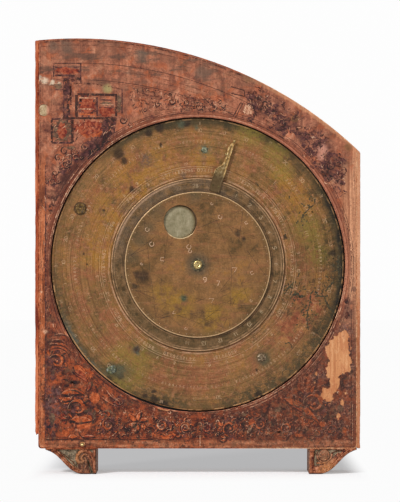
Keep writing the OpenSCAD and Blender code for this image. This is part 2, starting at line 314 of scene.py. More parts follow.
class Finish(Shader):
    """One procedural material. Its positions and sizes are in millimetres in the frame at rest.

    A colour is a socket, or red, green and blue from 0 to 255. Each noise takes the next seed, so their order counts.
    """

    def __init__(self, name, metallic=0, specular=0.5, seed=0):
        self.mat = bpy.data.materials.new(name)
        super().__init__(self.mat)
        self.bsdf = self.tree.nodes["Principled BSDF"]
        self.bsdf.inputs["Metallic"].default_value = metallic
        self.bsdf.inputs["Specular IOR Level"].default_value = specular
        self.seed = seed
        self.colour = None
        self.pos = self.vector("SCALE", self.add("TexCoord").outputs["Object"], scale=1000)
        self.x, self.y, self.z = self.add("SeparateXYZ", Vector=self.pos).outputs
        self.flat = self.vector("MULTIPLY", self.pos, (1, 0, 1))
        self.shaken = {}

    def plus(self, a, b):
        return self.math("ADD", a, b)

    def minus(self, a, b):
        return self.math("SUBTRACT", a, b)

    def most(self, a, b):
        return self.math("MAXIMUM", a, b)

    def band(self, value, low, high, soft):
        return self.times(self.level(value, low - soft, low + soft), self.level(value, high + soft, high - soft))

    def next_place(self, shift, scale):
        """The place, moved by the next seed and scaled for a noise."""
        self.seed += 1
        return self.add("Mapping", self.pos, Location=tuple(self.seed * s for s in shift), Scale=scale).outputs[0]

    def noise(self, size, detail=5, rough=0.6, stretch=(1, 1, 1), distort=0):
        place = self.next_place((17.3, 5.9, 11.7), tuple(s / size for s in stretch))
        return self.add("TexNoise", Vector=place, Scale=1, Detail=detail, Roughness=rough,
            Distortion=distort).outputs["Fac"]

    def patches(self, low, high, *size, **more):
        """1 where a noise is high and 0 where it is low."""
        return self.level(self.noise(*size, **more), low, high)

    def rings(self, size, detail=3):
        """Noise that runs round the dial in rings of that width."""
        self.seed += 1
        along = self.plus(self.times(self.z, 0.012), float(self.seed))
        spread = self.add("CombineXYZ", self.math("DIVIDE", self.radius(), size), self.times(self.x, 0.012), along)
        return self.add("TexNoise", Vector=spread.outputs[0], Scale=1, Detail=detail, Roughness=0.6).outputs["Fac"]

    def warped(self, reach):
        """The place in the face's plane, shaken by a noise so that edges drawn from it come out ragged."""
        if reach not in self.shaken:
            place = self.next_place((3.1, 0, 9.7), (1 / (reach * 3),) * 3)
            node = self.add("TexNoise", Vector=place, Scale=1, Detail=6, Roughness=0.65)
            centred = self.vector("SUBTRACT", node.outputs["Color"], (0.5, 0.5, 0.5))
            shift = self.vector("MULTIPLY", centred, (reach * 2.6, 0, reach * 2.6))
            self.shaken[reach] = self.vector("ADD", self.flat, shift)
        return self.shaken[reach]

    def far(self, x, z, shake=None):
        """Distance from a place in the face's plane."""
        return self.vector("DISTANCE", self.flat if shake is None else self.warped(shake), (x, 0, z))

    def radius(self, shake=None):
        return self.far(0, DIAL_Z, shake)

    def clock(self):
        """Angle clockwise from upright in degrees, from -180 to 180."""
        return self.times(self.math("ARCTAN2", self.x, self.minus(self.z, DIAL_Z)), RADIAN)

    def spots(self, places, soft=0.5, shake=1.5):
        """1 inside ragged spots, each an x, a z and a radius."""
        each = [self.level(self.far(x, z, shake), r * (1 + soft), r * (1 - soft)) for x, z, r in places]
        out = each[0]
        for one in each[1:]:
            out = self.most(out, one)
        return out

    def mix(self, factor, a, b):
        node = self.tree.nodes.new("ShaderNodeMix")
        node.data_type = "RGBA"
        for index, value in ((0, factor), (6, a), (7, b)):
            self.put(node.inputs[index], srgb(*value) if isinstance(value, tuple) else value)
        return node.outputs[2]

    def stain(self, base, mask, colour, amount=1):
        """The base with a colour over it where the mask is 1."""
        return self.mix(self.math("MULTIPLY", mask, amount, clamp=True), base, colour)

    def lay(self, mask, colour, amount=1):
        """Stains the finish's own colour."""
        self.colour = self.stain(self.colour, mask, colour, amount)

    def ramp(self, value, *stops):
        """Colours at places along a value: (place, colour) from low to high."""
        out = stops[0][1]
        for (low, _), (high, colour) in zip(stops, stops[1:]):
            out = self.mix(self.level(value, low, high), out, colour)
        return out

    def shade(self, value):
        """Makes the finish's own colour darker or brighter."""
        self.colour = self.vector("SCALE", self.colour, scale=value)

    def tint(self, *factors):
        self.colour = self.vector("MULTIPLY", self.colour, factors)

    def done(self, rough, height, depth, strength):
        bump = self.add("Bump", Strength=strength, Distance=depth * MM, Height=height)
        self.put(self.bsdf.inputs["Base Color"], self.colour)
        self.put(self.bsdf.inputs["Roughness"], rough)
        self.put(self.bsdf.inputs["Normal"], bump.outputs[0])
        return self.mat


def wood_grain(f, size=1.1, along=(1, 1, 0.035)):
    """Fine straight grain running up the board, from 0 to 1."""
    coarse = f.noise(size * 5, 4, 0.55, stretch=along, distort=0.3)
    fine = f.noise(size, 3, 0.6, stretch=along)
    return f.plus(f.times(coarse, 0.55), f.times(fine, 0.45))


def paper_colour(f):
    """Red-brown varnished print: terracotta at the top, dark purple-brown below, rubbed and blotched."""
    blotch = f.noise(8, 8, 0.7, distort=0.5)
    small = f.noise(1.9, 6, 0.72)
    fine = f.noise(0.9, 4, 0.7)
    mixed = f.plus(f.times(blotch, 0.62), f.times(small, 0.38))
    calm = f.plus(f.times(blotch, 0.75), f.times(small, 0.25))
    upper = f.ramp(calm, (0.36, (104, 64, 56)), (0.45, (144, 90, 70)), (0.54, (174, 112, 86)),
        (0.64, (196, 138, 108)))
    lower = f.ramp(mixed, (0.38, (44, 27, 28)), (0.47, (98, 52, 39)), (0.56, (142, 75, 51)), (0.64, (176, 104, 74)))
    height = f.plus(f.z, f.times(f.minus(blotch, 0.5), 80))
    f.colour = f.mix(f.level(height, 165, 60), upper, lower)
    # Hues that drift over the varnish: orange, olive grey and purple
    orange = f.patches(0.5, 0.6, 7, 6, 0.66, distort=0.6)
    f.lay(orange, (178, 92, 56), 0.5)
    olive = f.patches(0.53, 0.62, 6, 6, 0.68, stretch=(0.6, 1, 1.2))
    f.lay(olive, (108, 84, 64), f.level(f.z, 200, 110, 0.32, 0.5))
    purple = f.patches(0.53, 0.61, 5, 7, 0.7, distort=0.5)
    f.lay(purple, (84, 50, 50), f.level(f.z, 200, 110, 0.28, 0.5))
    # Left edge and the right strip where the colour is worn down to the wood
    left_edge = f.level(f.plus(f.x, f.times(small, 2)), -101.6, -103)
    tan = f.ramp(f.noise(3, 6, 0.66, stretch=(1, 1, 0.12)), (0.4, (122, 66, 44)), (0.52, (170, 96, 62)),
        (0.62, (196, 122, 84)))
    f.lay(f.times(left_edge, f.level(f.z, 225, 205)), tan, 0.85)
    low_edge = f.level(f.plus(f.z, f.times(small, 1.6)), 24.6, 23.4)
    band = f.ramp(f.noise(3, 6, 0.66, stretch=(0.12, 1, 1)), (0.4, (124, 74, 54)), (0.52, (164, 100, 70)),
        (0.62, (196, 130, 96)))
    f.lay(low_edge, band, 0.8)
    grain = wood_grain(f)
    bare = f.ramp(grain, (0.4, (164, 106, 78)), (0.5, (196, 138, 104)), (0.6, (214, 160, 124)))
    ragged = f.plus(f.x, f.times(f.minus(f.noise(14, 6, 0.7, stretch=(1, 1, 0.35)), 0.5), 16))
    strip = f.times(f.level(ragged, 96, 98.5), f.band(height, 118, 214, 7))
    strip = f.most(strip, f.times(f.level(ragged, 104, 106), f.band(height, 60, 228, 9)))
    f.colour = f.mix(f.times(strip, 0.95), f.colour, bare)
    f.lay(f.spots([(101, 117, 3.4), (102, 109, 4.2), (100.4, 113, 2.4), (106, 126, 1.6)], 0.4, 2), (70, 42, 46), 0.8)
    f.lay(f.times(f.level(f.x, 104.6, 106), f.level(f.z, 126, 118)), (122, 70, 54), 0.5)
    soft = f.spots([(-88, 261, 6), (-89, 250, 6), (-92, 234, 9), (-72, 222, 8), (-63, 232, 7), (-76, 250, 7),
        (-84, 218, 7), (-62, 246, 6), (-92, 272, 6), (-93, 205, 7), (-98, 190, 6)], 0.8, 4)
    f.lay(f.times(soft, f.level(calm, 0.58, 0.42)), (78, 50, 50), 0.75)
    dusky = f.spots([(41, 253, 6), (51, 249, 7), (57, 241, 6), (68, 240, 5), (74, 233, 8), (82, 223, 9), (88, 211, 9),
        (93, 205, 8), (97, 213, 6)], 0.8, 5.5)
    f.lay(f.times(dusky, f.level(calm, 0.66, 0.42)), (88, 60, 58), 0.78)
    f.lay(f.times(f.level(f.x, 92, 98), f.band(f.z, 96, 152, 8)), (184, 136, 106), 0.3)
    f.lay(f.spots([(*APEX, 3.2)], 0.5, 0.8), (58, 36, 32), 0.8)
    # Dark grime
    grime = f.patches(0.46, 0.56, 4.6, 7, 0.68, distort=0.6)
    zones = f.spots([(40, 251, 6), (58, 238, 5), (86, 206, 5), (-100, 183, 6), (-98, 52, 8), (-99, 34, 6),
        (-98, 44, 7), (46, 34, 12), (24, 38, 16), (62, 47, 8), (92, 30, 8), (100, 70, 6), (-47, 30, 5), (92, 60, 6)],
        0.6, 4)
    f.lay(f.times(grime, f.plus(f.times(zones, 0.9), 0.1)), (52, 36, 40), 0.9)
    f.lay(f.spots([(-99, 33.5, 4.4)], 0.5, 2), (42, 44, 56), 0.8)
    f.lay(f.times(f.spots([(-99, 47, 5.4), (-98.5, 56, 4.6), (-97, 40, 4)], 0.5, 3), f.level(small, 0.4, 0.55)),
        (112, 84, 84), 0.7)
    radius, clock = f.radius(1.5), f.clock()
    shade = f.times(f.band(radius, 104, 110, 2), f.band(clock, -62, -36, 4))
    f.lay(f.times(shade, f.level(blotch, 0.36, 0.5)), (62, 36, 42), 0.85)
    # Lines painted round the recess, with a rubbed arris and painted shade along the recess's edge
    ring = f.radius(0.6)
    bright = f.most(f.band(clock, -22, 108, 12), f.times(f.patches(0.5, 0.6, 16, 4, 0.6), 0.5))
    moulding = f.mix(bright, (112, 66, 50), (152, 94, 70))
    f.lay(f.band(ring, 100.4, 103.9, 0.6), moulding, 0.75)
    f.lay(f.band(ring, 103.7, 104.3, 0.25), (88, 44, 40), 0.6)
    f.lay(f.band(ring, 102.1, 102.7, 0.25), (100, 48, 40), 0.6)
    f.lay(f.times(f.band(ring, 101.1, 101.7, 0.25), bright), (190, 126, 102), 0.6)
    edge_r = f.radius()
    # Painted shade: the facing's inner edge is darkened where the moulding is not bright, as the shadowed gap round
    # the plate
    f.lay(f.times(f.level(edge_r, 101.3, 100.9), f.minus(1, bright)), (74, 50, 38), 0.75)
    arris = f.times(f.level(edge_r, 101, 100.6), f.patches(0.44, 0.54, 6, 5, 0.6))
    arris = f.times(arris, f.most(f.band(clock, -82, -28, 5), f.band(clock, 96, 172, 6)))
    f.lay(arris, (220, 176, 142), 0.9)
    # Worn specks, pale scratches and smears
    worn = f.patches(0.58, 0.66, 1.6, 5, 0.74, stretch=(1, 1, 0.6))
    rough_low = f.level(f.z, 215, 110, 0.3, 1)
    f.lay(f.times(worn, rough_low), (206, 150, 118), 0.6)
    dark = f.patches(0.58, 0.66, 1.8, 5, 0.74)
    f.lay(f.times(dark, rough_low), (52, 30, 30), 0.75)
    smear = f.patches(0.5, 0.6, 7, 6, 0.66, stretch=(0.4, 1, 1.6))
    f.lay(f.times(smear, f.level(f.z, 250, 278)), (92, 74, 64), 0.7)
    f.lay(f.spots([(-38, 285, 4.4), (-90, 291, 5), (-98, 291, 4), (3, 273, 5)], 0.6, 3), (104, 92, 80), 0.7)
    f.lay(f.spots([(-61.5, 262, 2.8)], 0.6, 1.5), (154, 142, 96), 0.85)
    f.lay(f.spots([(-108, 269, 1.8), (-104, 268, 2.2), (-99, 266.6, 1.6), (-94.5, 265.6, 1.2)], 0.5, 2.5),
        (214, 192, 166), 0.8)
    f.lay(f.spots([(-103.6, 97, 1.4), (-105.9, 124, 0.7)], 0.6, 1.2), (216, 168, 136), 0.8)
    greyed = f.spots([(82, 67, 5), (87, 49, 5), (103.5, 58, 4), (103.5, 74, 4), (103, 84, 4), (101, 98, 5),
        (100, 44, 6), (96, 34, 5)], 0.6, 3)
    speckled = f.patches(0.42, 0.54, 1.8, 6, 0.74)
    f.lay(f.times(greyed, speckled), (86, 64, 64), 0.8)
    f.lay(f.times(greyed, f.patches(0.54, 0.6, 1.2, 5, 0.74)), (206, 152, 122), 0.7)
    # Worn corner at the top right and the edges
    to_arc = f.far(ARC_X, ARC_Z, 1.5)
    f.lay(f.times(f.level(f.x, 24, 60), f.level(to_arc, ARC_R - 3, ARC_R - 1.6)), (196, 138, 102), 0.7)
    f.lay(f.times(f.level(f.x, 84, 104), f.level(to_arc, ARC_R - 9, ARC_R - 3)), (176, 110, 80), 0.42)
    f.lay(f.spots([(102.5, 222.5, 2.6), (34, 269, 3), (66, 242, 2.4)], 0.6, 2), (112, 88, 58), 0.6)
    f.lay(f.spots([(-88, 288, 9), (-60, 290, 8), (-20, 284, 8), (6, 277, 7), (30, 268, 6)], 0.7, 4), (124, 86, 70),
        0.4)
    f.lay(f.spots([(84.5, 220.5, 3.4), (83.5, 216, 2.6)], 0.5, 2), (196, 140, 120), 0.7)
    grainy = f.level(grain, 0.42, 0.6, 0.84, 1.1)
    speck = f.level(fine, 0.36, 0.64, -1, 1)
    speck = f.plus(f.times(speck, f.level(f.z, 215, 110, 0.11, 0.22)), 1)
    f.shade(f.times(grainy, speck))
    return mixed, grain


def paper(name, inks=None, hold=0.5):
    """The print's finish. With inks, in three tones, it is the same paper under paint that has worn away in places."""
    f = Finish(name, specular=0.28)
    mixed, grain = paper_colour(f)
    f.seed = 200
    if inks is not None:
        kept = f.level(f.noise(2, 6, 0.74), hold - 0.1, hold - 0.02)
        tone = f.ramp(f.noise(2.2, 6, 0.72), (0.4, inks[0]), (0.5, inks[1]), (0.6, inks[2]))
        f.colour = f.mix(f.times(kept, 0.92), f.colour, tone)
    # Varnish that has gone purple-brown at the lower right and orange in patches
    f.seed = 260
    low = f.level(f.z, 112, 84)
    brown = f.times(low, f.level(f.plus(f.x, f.times(f.noise(12, 5, 0.6), 60)), 30, 90))
    f.lay(brown, (88, 62, 52), 0.34)
    light = f.times(brown, f.patches(0.55, 0.63, 1.8, 6, 0.7))
    f.lay(light, (158, 116, 96), 0.5)
    olive_low = f.times(low, f.patches(0.54, 0.62, 4.6, 6, 0.7))
    f.lay(olive_low, (104, 84, 66), 0.36)
    if inks is None:
        glow = f.times(low, f.patches(0.5, 0.6, 5, 6, 0.68), f.level(f.x, 40, -20, 0.35, 1))
        f.lay(glow, (178, 88, 54), 0.45)
        shadow = f.times(low, f.patches(0.52, 0.6, 3.4, 6, 0.7))
        f.lay(shadow, (48, 30, 32), 0.6)
    wrinkle = f.noise(3, 6, 0.65)
    tooth = f.noise(0.45, 2, 0.6)
    height = f.plus(f.plus(f.times(wrinkle, 1.1), f.times(grain, 0.8)), f.times(tooth, 0.28))
    rough = f.level(mixed, 0.3, 0.7, 0.4, 0.66)
    return f.done(rough, height, 0.32, 0.55)


def bare_wood(name):
    """Old softwood: bare and pale at the front, painted on the edges, brown with age behind."""
    f = Finish(name, specular=0.22)
    grain = wood_grain(f)
    blotch = f.noise(12, 6, 0.6)
    front = f.ramp(grain, (0.38, (166, 106, 72)), (0.5, (196, 136, 94)), (0.62, (212, 156, 114)))
    front = f.stain(front, f.patches(0.48, 0.6, 4, 6, 0.66, stretch=(1, 1, 0.5)), (172, 104, 72), 0.5)
    front = f.stain(front, f.patches(0.56, 0.64, 1.6, 5, 0.7, stretch=(1, 1, 0.4)), (214, 166, 122), 0.6)
    front = f.stain(front, f.patches(0.58, 0.66, 1.1, 5, 0.7), (128, 70, 52), 0.6)
    edge = f.ramp(f.noise(4, 6, 0.66), (0.38, (96, 48, 38)), (0.5, (146, 76, 52)), (0.62, (188, 112, 78)))
    arc_r = f.far(ARC_X, ARC_Z)
    margin = f.most(f.level(f.math("ABSOLUTE", f.x), 106.2, 107), f.level(arc_r, ARC_R - 2.4, ARC_R - 1.6))
    margin = f.most(margin, f.level(f.z, 20, 19.2))
    edge_pale = f.ramp(f.noise(3, 6, 0.66), (0.38, (172, 108, 76)), (0.5, (200, 142, 104)), (0.62, (220, 172, 134)))
    edge_front = f.mix(f.level(f.plus(f.x, f.times(blotch, 20)), 30, 66), edge, edge_pale)
    front = f.mix(margin, front, edge_front)
    old = f.ramp(grain, (0.36, (84, 60, 42)), (0.5, (122, 92, 66)), (0.64, (150, 118, 88)))
    old = f.stain(old, f.patches(0.5, 0.66, 26, 6, 0.6), (70, 50, 38), 0.6)
    old = f.stain(old, f.patches(0.62, 0.7, 1.2, 4, 0.7, stretch=(1, 1, 0.25)), (46, 34, 26), 0.8)
    wall = f.ramp(f.noise(5, 6, 0.66), (0.38, (120, 66, 52)), (0.5, (176, 108, 84)), (0.62, (214, 154, 122)))
    f.colour = f.mix(f.level(f.y, -15.9, -15.2), front, edge)
    inside = f.times(f.level(f.radius(), 101.2, 100.9), f.level(f.y, -13.2, -13.4))
    f.colour = f.mix(inside, f.colour, wall)
    # Painted shade: the recess floor in the gap round the plate is darkened nearly to black
    f.colour = f.mix(f.times(f.level(f.radius(), 100.38, 100.3), f.level(f.y, -13.9, -13.8)), f.colour, (34, 24, 20))
    f.colour = f.mix(f.level(f.plus(f.y, f.times(blotch, 1.6)), 1.5, 2.4), f.colour, old)
    height = f.plus(f.times(grain, 1.2), f.times(f.noise(2, 6, 0.7), 0.6))
    return f.done(f.level(grain, 0.3, 0.7, 0.55, 0.8), height, 0.4, 0.6)


def painted_wood(name, tones, worn, seed, coarse, lower=None):
    """Painted and varnished wood, rubbed through to a paler colour on its raised parts."""
    f = Finish(name, specular=0.28, seed=seed)
    blotch = f.noise(coarse, 7, 0.68, stretch=(1, 1, 0.15))
    small = f.noise(1, 5, 0.7)
    f.colour = f.ramp(blotch, (0.36, tones[0]), (0.48, tones[1]), (0.6, tones[2]))
    if lower is not None:
        f.lay(f.level(f.plus(f.z, f.times(blotch, 40)), 160, 140), lower, 0.6)
    f.lay(f.level(small, 0.56, 0.68), worn, 0.6)
    f.lay(f.patches(0.6, 0.68, 1.4, 5, 0.7), (52, 34, 30), 0.7)
    grain = wood_grain(f, 0.8)
    f.shade(f.level(grain, 0.4, 0.62, 0.82, 1.08))
    height = f.plus(f.times(blotch, 1), f.times(grain, 0.8))
    return f.done(f.level(blotch, 0.3, 0.7, 0.42, 0.68), height, 0.3, 0.5)


def foot_wood(name, grey_x, grey_z, gold_x, gold_z, bright):
    """Carved foot: brown with painted shade in its deepest cuts, greenish in the deep ground, with a greyer and a more
    golden part, and a painted contact shadow along its bottom edge.
    """
    f = Finish(name, specular=0.25)
    blotch = f.noise(2.6, 7, 0.7)
    small = f.noise(0.9, 5, 0.7)
    relief = f.minus(WOOD_Y, f.y)
    crown = f.ramp(blotch, (0.38, (76, 42, 34)), (0.46, (120, 70, 50)), (0.54, (156, 96, 70)),
        (0.62, (190, 136, 108)))
    gold = f.times(f.spots([(gold_x, gold_z, 5.5)], 0.7, 2), f.level(small, 0.34, 0.56, 0.4, 1))
    crown = f.stain(crown, gold, (178, 120, 76), 0.7)
    grey = f.times(f.spots([(grey_x, grey_z, 5)], 0.7, 2), f.level(f.noise(1.6, 5, 0.66), 0.42, 0.56, 0.3, 1))
    crown = f.stain(crown, grey, (128, 98, 76), 0.75)
    ground = f.ramp(blotch, (0.38, (74, 62, 48)), (0.5, (124, 110, 90)), (0.62, (158, 140, 116)))
    f.colour = f.mix(f.level(relief, -0.85, -1.4), crown, ground)
    # Painted shade in the deepest cuts of the carving
    f.lay(f.level(relief, -1.75, -2.3), (40, 26, 22), 0.92)
    line = f.times(f.level(relief, -0.5, -0.8), f.level(relief, -1.2, -0.9))
    f.lay(line, (56, 36, 28), 0.75)
    f.lay(f.level(small, 0.56, 0.66), (214, 158, 122), 0.5)
    f.lay(f.patches(0.56, 0.64, 1.2, 5, 0.7), (54, 34, 28), 0.75)
    # Painted contact shadow along the foot's bottom edge
    f.lay(f.level(f.z, 1.2, 0.3), (52, 36, 32), 0.85)
    side = f.level(f.y, -13.4, -12.6)
    old = f.ramp(wood_grain(f, 1, (0.05, 1, 1)), (0.38, (84, 52, 38)), (0.5, (128, 80, 56)), (0.62, (158, 108, 78)))
    f.colour = f.mix(side, f.colour, old)
    f.shade(bright)
    height = f.plus(f.times(blotch, 1), f.times(small, 0.5))
    return f.done(f.level(blotch, 0.3, 0.7, 0.5, 0.75), height, 0.35, 0.55)


def brass_wear(f, amount):
    """Lays fine scratches and grains over a brass colour, and gives the height that goes with them."""
    scratch = f.noise(0.6, 2, 0.5, stretch=(0.06, 1, 1))
    cross = f.noise(0.6, 2, 0.5, stretch=(1, 1, 0.07))
    grain = f.noise(0.9, 4, 0.7)
    marks = f.most(f.level(scratch, 0.61, 0.7), f.level(cross, 0.62, 0.71))
    f.lay(marks, (186, 154, 112), amount * 0.26)
    f.shade(f.level(grain, 0.34, 0.66, 0.8, 1.18))
    return f.minus(f.times(grain, 0.6), f.times(marks, 0.3))


def plate_colour(f):
    """Engraved plate: ochre at the upper left, pinkish brown round the middle, black-green towards the rim and right."""
    wide = f.noise(24, 6, 0.6, distort=0.5)
    patch = f.noise(7, 7, 0.66, distort=0.4)
    small = f.noise(2, 6, 0.7)
    mixed = f.plus(f.times(wide, 0.5), f.times(patch, 0.5))
    f.colour = f.ramp(mixed, (0.38, (104, 84, 56)), (0.47, (132, 102, 66)), (0.55, (150, 112, 70)),
        (0.64, (160, 118, 66)))
    reddish = f.patches(0.46, 0.6, 13, 6, 0.66)
    radius, ragged, clock = f.radius(), f.radius(3), f.clock()
    f.lay(f.times(reddish, f.band(ragged, 58, 88, 5)), (152, 98, 72), 0.7)
    gold = f.spots(
        [(-42, 197, 16), (-28, 210, 13), (-56, 176, 16), (-66, 152, 12), (4, 215, 10), (66, 186, 12), (58, 200, 9)],
        0.7, 4)
    f.lay(f.times(gold, f.level(patch, 0.38, 0.56)), (166, 124, 56), 0.8)
    # Rings left by the graver and by old polish
    ring = f.rings(0.9)
    f.lay(f.level(ring, 0.56, 0.66), (178, 138, 96), 0.4)
    f.lay(f.level(ring, 0.44, 0.34), (86, 62, 46), 0.45)
    f.lay(f.patches(0.53, 0.61, 2.8, 6, 0.7), (186, 136, 104), 0.45)
    f.lay(f.patches(0.54, 0.62, 2.4, 6, 0.7), (112, 100, 58), 0.5)
    f.lay(f.patches(0.55, 0.63, 3.6, 6, 0.7), (148, 88, 64), 0.4)
    fine = f.rings(0.35, 2)
    f.lay(f.times(f.level(fine, 0.56, 0.68), f.level(wide, 0.4, 0.55)), (184, 146, 108), 0.4)
    # Dark rim, heavier at the top and at the right
    rim = f.level(ragged, 91.5, 98)
    side = f.most(f.band(clock, 48, 118, 12), f.band(clock, -40, 44, 12))
    f.lay(f.times(rim, f.plus(f.times(side, 0.6), 0.34)), (72, 66, 48), 0.95)
    speck = f.patches(0.44, 0.54, 3.2, 7, 0.72, distort=0.5)
    low_side = f.most(f.band(clock, 104, 172, 14), f.band(clock, -176, -150, 6))
    low_rim = f.times(f.times(f.level(ragged, 86, 94), low_side), speck)
    f.lay(low_rim, (66, 66, 52), 0.7)
    west = f.times(f.times(f.level(ragged, 91, 96.5), f.band(clock, -150, -96, 10)), speck)
    f.lay(west, (70, 70, 54), 0.6)
    far = f.times(f.level(ragged, 95.5, 98.2), f.patches(0.42, 0.54, 8, 5, 0.6))
    f.lay(f.times(far, f.band(clock, 58, 112, 6)), (34, 34, 28), 0.9)
    blue = f.times(f.level(ragged, 95, 97.5), f.band(clock, -140, -112, 6))
    f.lay(f.times(blue, f.level(patch, 0.42, 0.54)), (98, 104, 94), 0.7)
    # Corroded zone: dark crusts round a flaked salmon patch
    crust = f.times(f.patches(0.5, 0.58, 3.6, 7, 0.7, distort=0.8), f.spots(
        [(78, 128, 11), (68, 118, 8), (88, 138, 9), (84, 158, 12), (90, 112, 8), (62, 108, 6), (80, 100, 9)], 0.6, 4))
    f.lay(crust, (52, 46, 32), 0.6)
    flaked = f.times(f.patches(0.42, 0.52, 6, 6, 0.66),
        f.spots([(78, 112, 7), (69, 103, 8), (60, 97, 8), (77, 121, 3), (68, 120, 4)], 0.5, 3.5))
    f.lay(flaked, f.ramp(patch, (0.42, (142, 78, 58)), (0.52, (178, 112, 82)), (0.6, (190, 136, 88))), 0.75)
    # Stains around the nails and elsewhere
    green = f.times(f.spots([(-47, 76, 13), (-44, 70, 9), (-36, 82, 9), (-52, 64, 9), (36, 232, 9), (52, 218, 8),
        (76, 166, 10), (81, 150, 8), (58, 206, 7)], 0.7, 3), f.level(small, 0.36, 0.52))
    f.lay(green, (138, 126, 60), 0.6)
    black = f.times(f.spots([(70, 207, 6), (80, 192, 6), (89, 170, 7), (92, 146, 7), (84, 184, 4), (91, 158, 5),
        (94, 134, 5), (62, 214, 4), (22, 238, 6), (-18, 236, 6)], 0.6, 4), f.patches(0.44, 0.54, 3, 7, 0.7))
    f.lay(black, (62, 60, 46), 0.62)
    dark = f.spots([(-54, 218, 4.2), (-50, 213, 2.6), (-45, 194, 1.7), (-33, 232, 2.4), (-41, 83.5, 1.5),
        (-30, 56, 1.4), (-8, 239, 3), (-26, 236, 3), (-64.4, 179.1, 0.9), (-75.6, 142.7, 0.8), (-78, 150, 0.8),
        (-25.1, 223.4, 1.1), (-22, 82, 0.8), (40, 71, 0.8), (92, 150, 2), (59.6, 161, 1.4), (-24, 48, 2.6),
        (26, 46, 2), (42, 54, 2.6), (-36, 53, 1.8), (-41.6, 85, 2.4), (-60.4, 64.6, 2.6), (-57.6, 61.4, 2.4),
        (-30, 50.6, 2.6), (-22, 47, 2.4), (-52.4, 66.6, 2)], 0.5, 2)
    f.lay(dark, (56, 48, 38), 0.85)
    nails = f.spots([(-55.2, 70.4, 4.4), (-58.4, 71.2, 4.6), (44.5, 78.4, 4.2)], 0.4, 1.4)
    f.lay(nails, (72, 74, 60), 0.8)
    rust = f.times(f.level(f.far(-79.8, 180.6), 4.9, 4.2), 1)
    f.lay(rust, (64, 52, 32), 0.8)
    smear = f.times(f.spots(
        [(-41.4, 84.6, 3.4), (-34.5, 215.7, 4), (-35.4, 212, 3), (-9.7, 201.4, 2.2), (-9.7, 204, 2)], 0.6, 1.6),
        f.level(small, 0.4, 0.54))
    f.lay(smear, (96, 90, 84), 0.6)
    teal = f.spots(
        [(4.9, 220.5, 4.2), (-11.4, 238, 2.4), (-41, 82, 1.2), (-1, 236, 1.6), (-52, 71, 3.2), (43, 79, 2.4)], 0.7,
        1.6)
    f.lay(f.times(teal, f.level(small, 0.38, 0.52)), (92, 104, 88), 0.7)
    greyed = f.spots([(44.5, 79, 6), (-48, 181, 5.4), (-30, 84, 5), (-50, 70, 6.5)], 0.6, 2)
    f.lay(greyed, (94, 90, 70), 0.5)
    # A darker ring just outside the age disc, a painted highlight in a ring round it, and bright places on the plate's
    # edge, rubbed in patches and painted as a highlight
    f.lay(f.level(radius, 59.8, 59.1), (66, 52, 38), 0.6)
    # Painted highlight: a pale ring on the plate round the age disc, standing for its edge catching the light
    ring_highlight = f.times(f.band(radius, 59.9, 60.5, 0.2), f.patches(0.44, 0.54, 14, 5, 0.62))
    f.lay(ring_highlight, (206, 168, 140), 0.75)
    # Painted highlight on the plate's bevelled edge, in rubbed patches and at the lower left, stronger towards the
    # bottom
    rubbed = f.most(f.patches(0.46, 0.56, 9, 5, 0.66), f.band(clock, -156, -120, 4))
    edge = f.times(f.band(radius, 98.5, 99.4, 0.2), rubbed)
    f.lay(f.times(edge, f.level(f.z, 150, 120, 0.5, 1)), (206, 166, 118), 0.8)
    pits = f.patches(0.64, 0.72, 0.8, 4, 0.75)
    f.lay(pits, (58, 44, 34), 0.8)
    right = f.times(f.band(clock, 70, 150, 20), f.level(radius, 60, 68))
    f.colour = f.mix(f.times(right, 0.16), f.colour, (60, 56, 40))
    f.tint(0.94, 0.845, 0.77)


def age_colour(f):
    """The age disc: dull olive brown, greyer at the upper left."""
    patch = f.noise(6, 6, 0.66)
    f.colour = f.ramp(patch, (0.36, (84, 68, 46)), (0.46, (112, 88, 60)), (0.54, (126, 98, 68)),
        (0.64, (142, 112, 82)))
    clock = f.clock()
    f.lay(f.times(f.band(clock, -85, 40, 18), f.patches(0.42, 0.56, 7, 5, 0.6)), (104, 90, 76), 0.6)
    f.lay(f.patches(0.54, 0.62, 3, 6, 0.68), (70, 62, 42), 0.6)
    ring = f.rings(0.7)
    f.lay(f.level(ring, 0.54, 0.64), (160, 128, 94), 0.45)
    radius = f.radius()
    worn = f.patches(0.42, 0.54, 9, 5, 0.62)
    # Painted shade on the age disc next to the lunar disc's edge
    f.lay(f.level(radius, 50.9, 50.1), (56, 46, 32), 0.35)
    lower = f.times(f.band(radius, 51.6, 56, 0.6), f.level(f.z, 130, 100))
    f.lay(lower, (84, 72, 50), 0.42)
    # Painted shadow of the lunar disc on its right side and below
    f.lay(f.times(f.band(radius, 50.9, 51.6, 0.2), f.level(clock, -40, 30)), (58, 46, 32), 0.3)
    f.lay(f.times(f.band(radius, 56.2, 57.6, 0.3), f.band(clock, -78, -12, 8)), (186, 154, 130), 0.7)
    f.lay(f.times(f.band(radius, 56.6, 57.3, 0.2), worn), (166, 136, 104), 0.6)
    # Painted highlight along the disc's outer edge, broken by the worn patches
    f.lay(f.times(f.level(radius, 57.9, 58.4), f.level(worn, -0.6, 1)), (196, 160, 124), 0.9)
    f.tint(0.94, 0.88, 0.82)


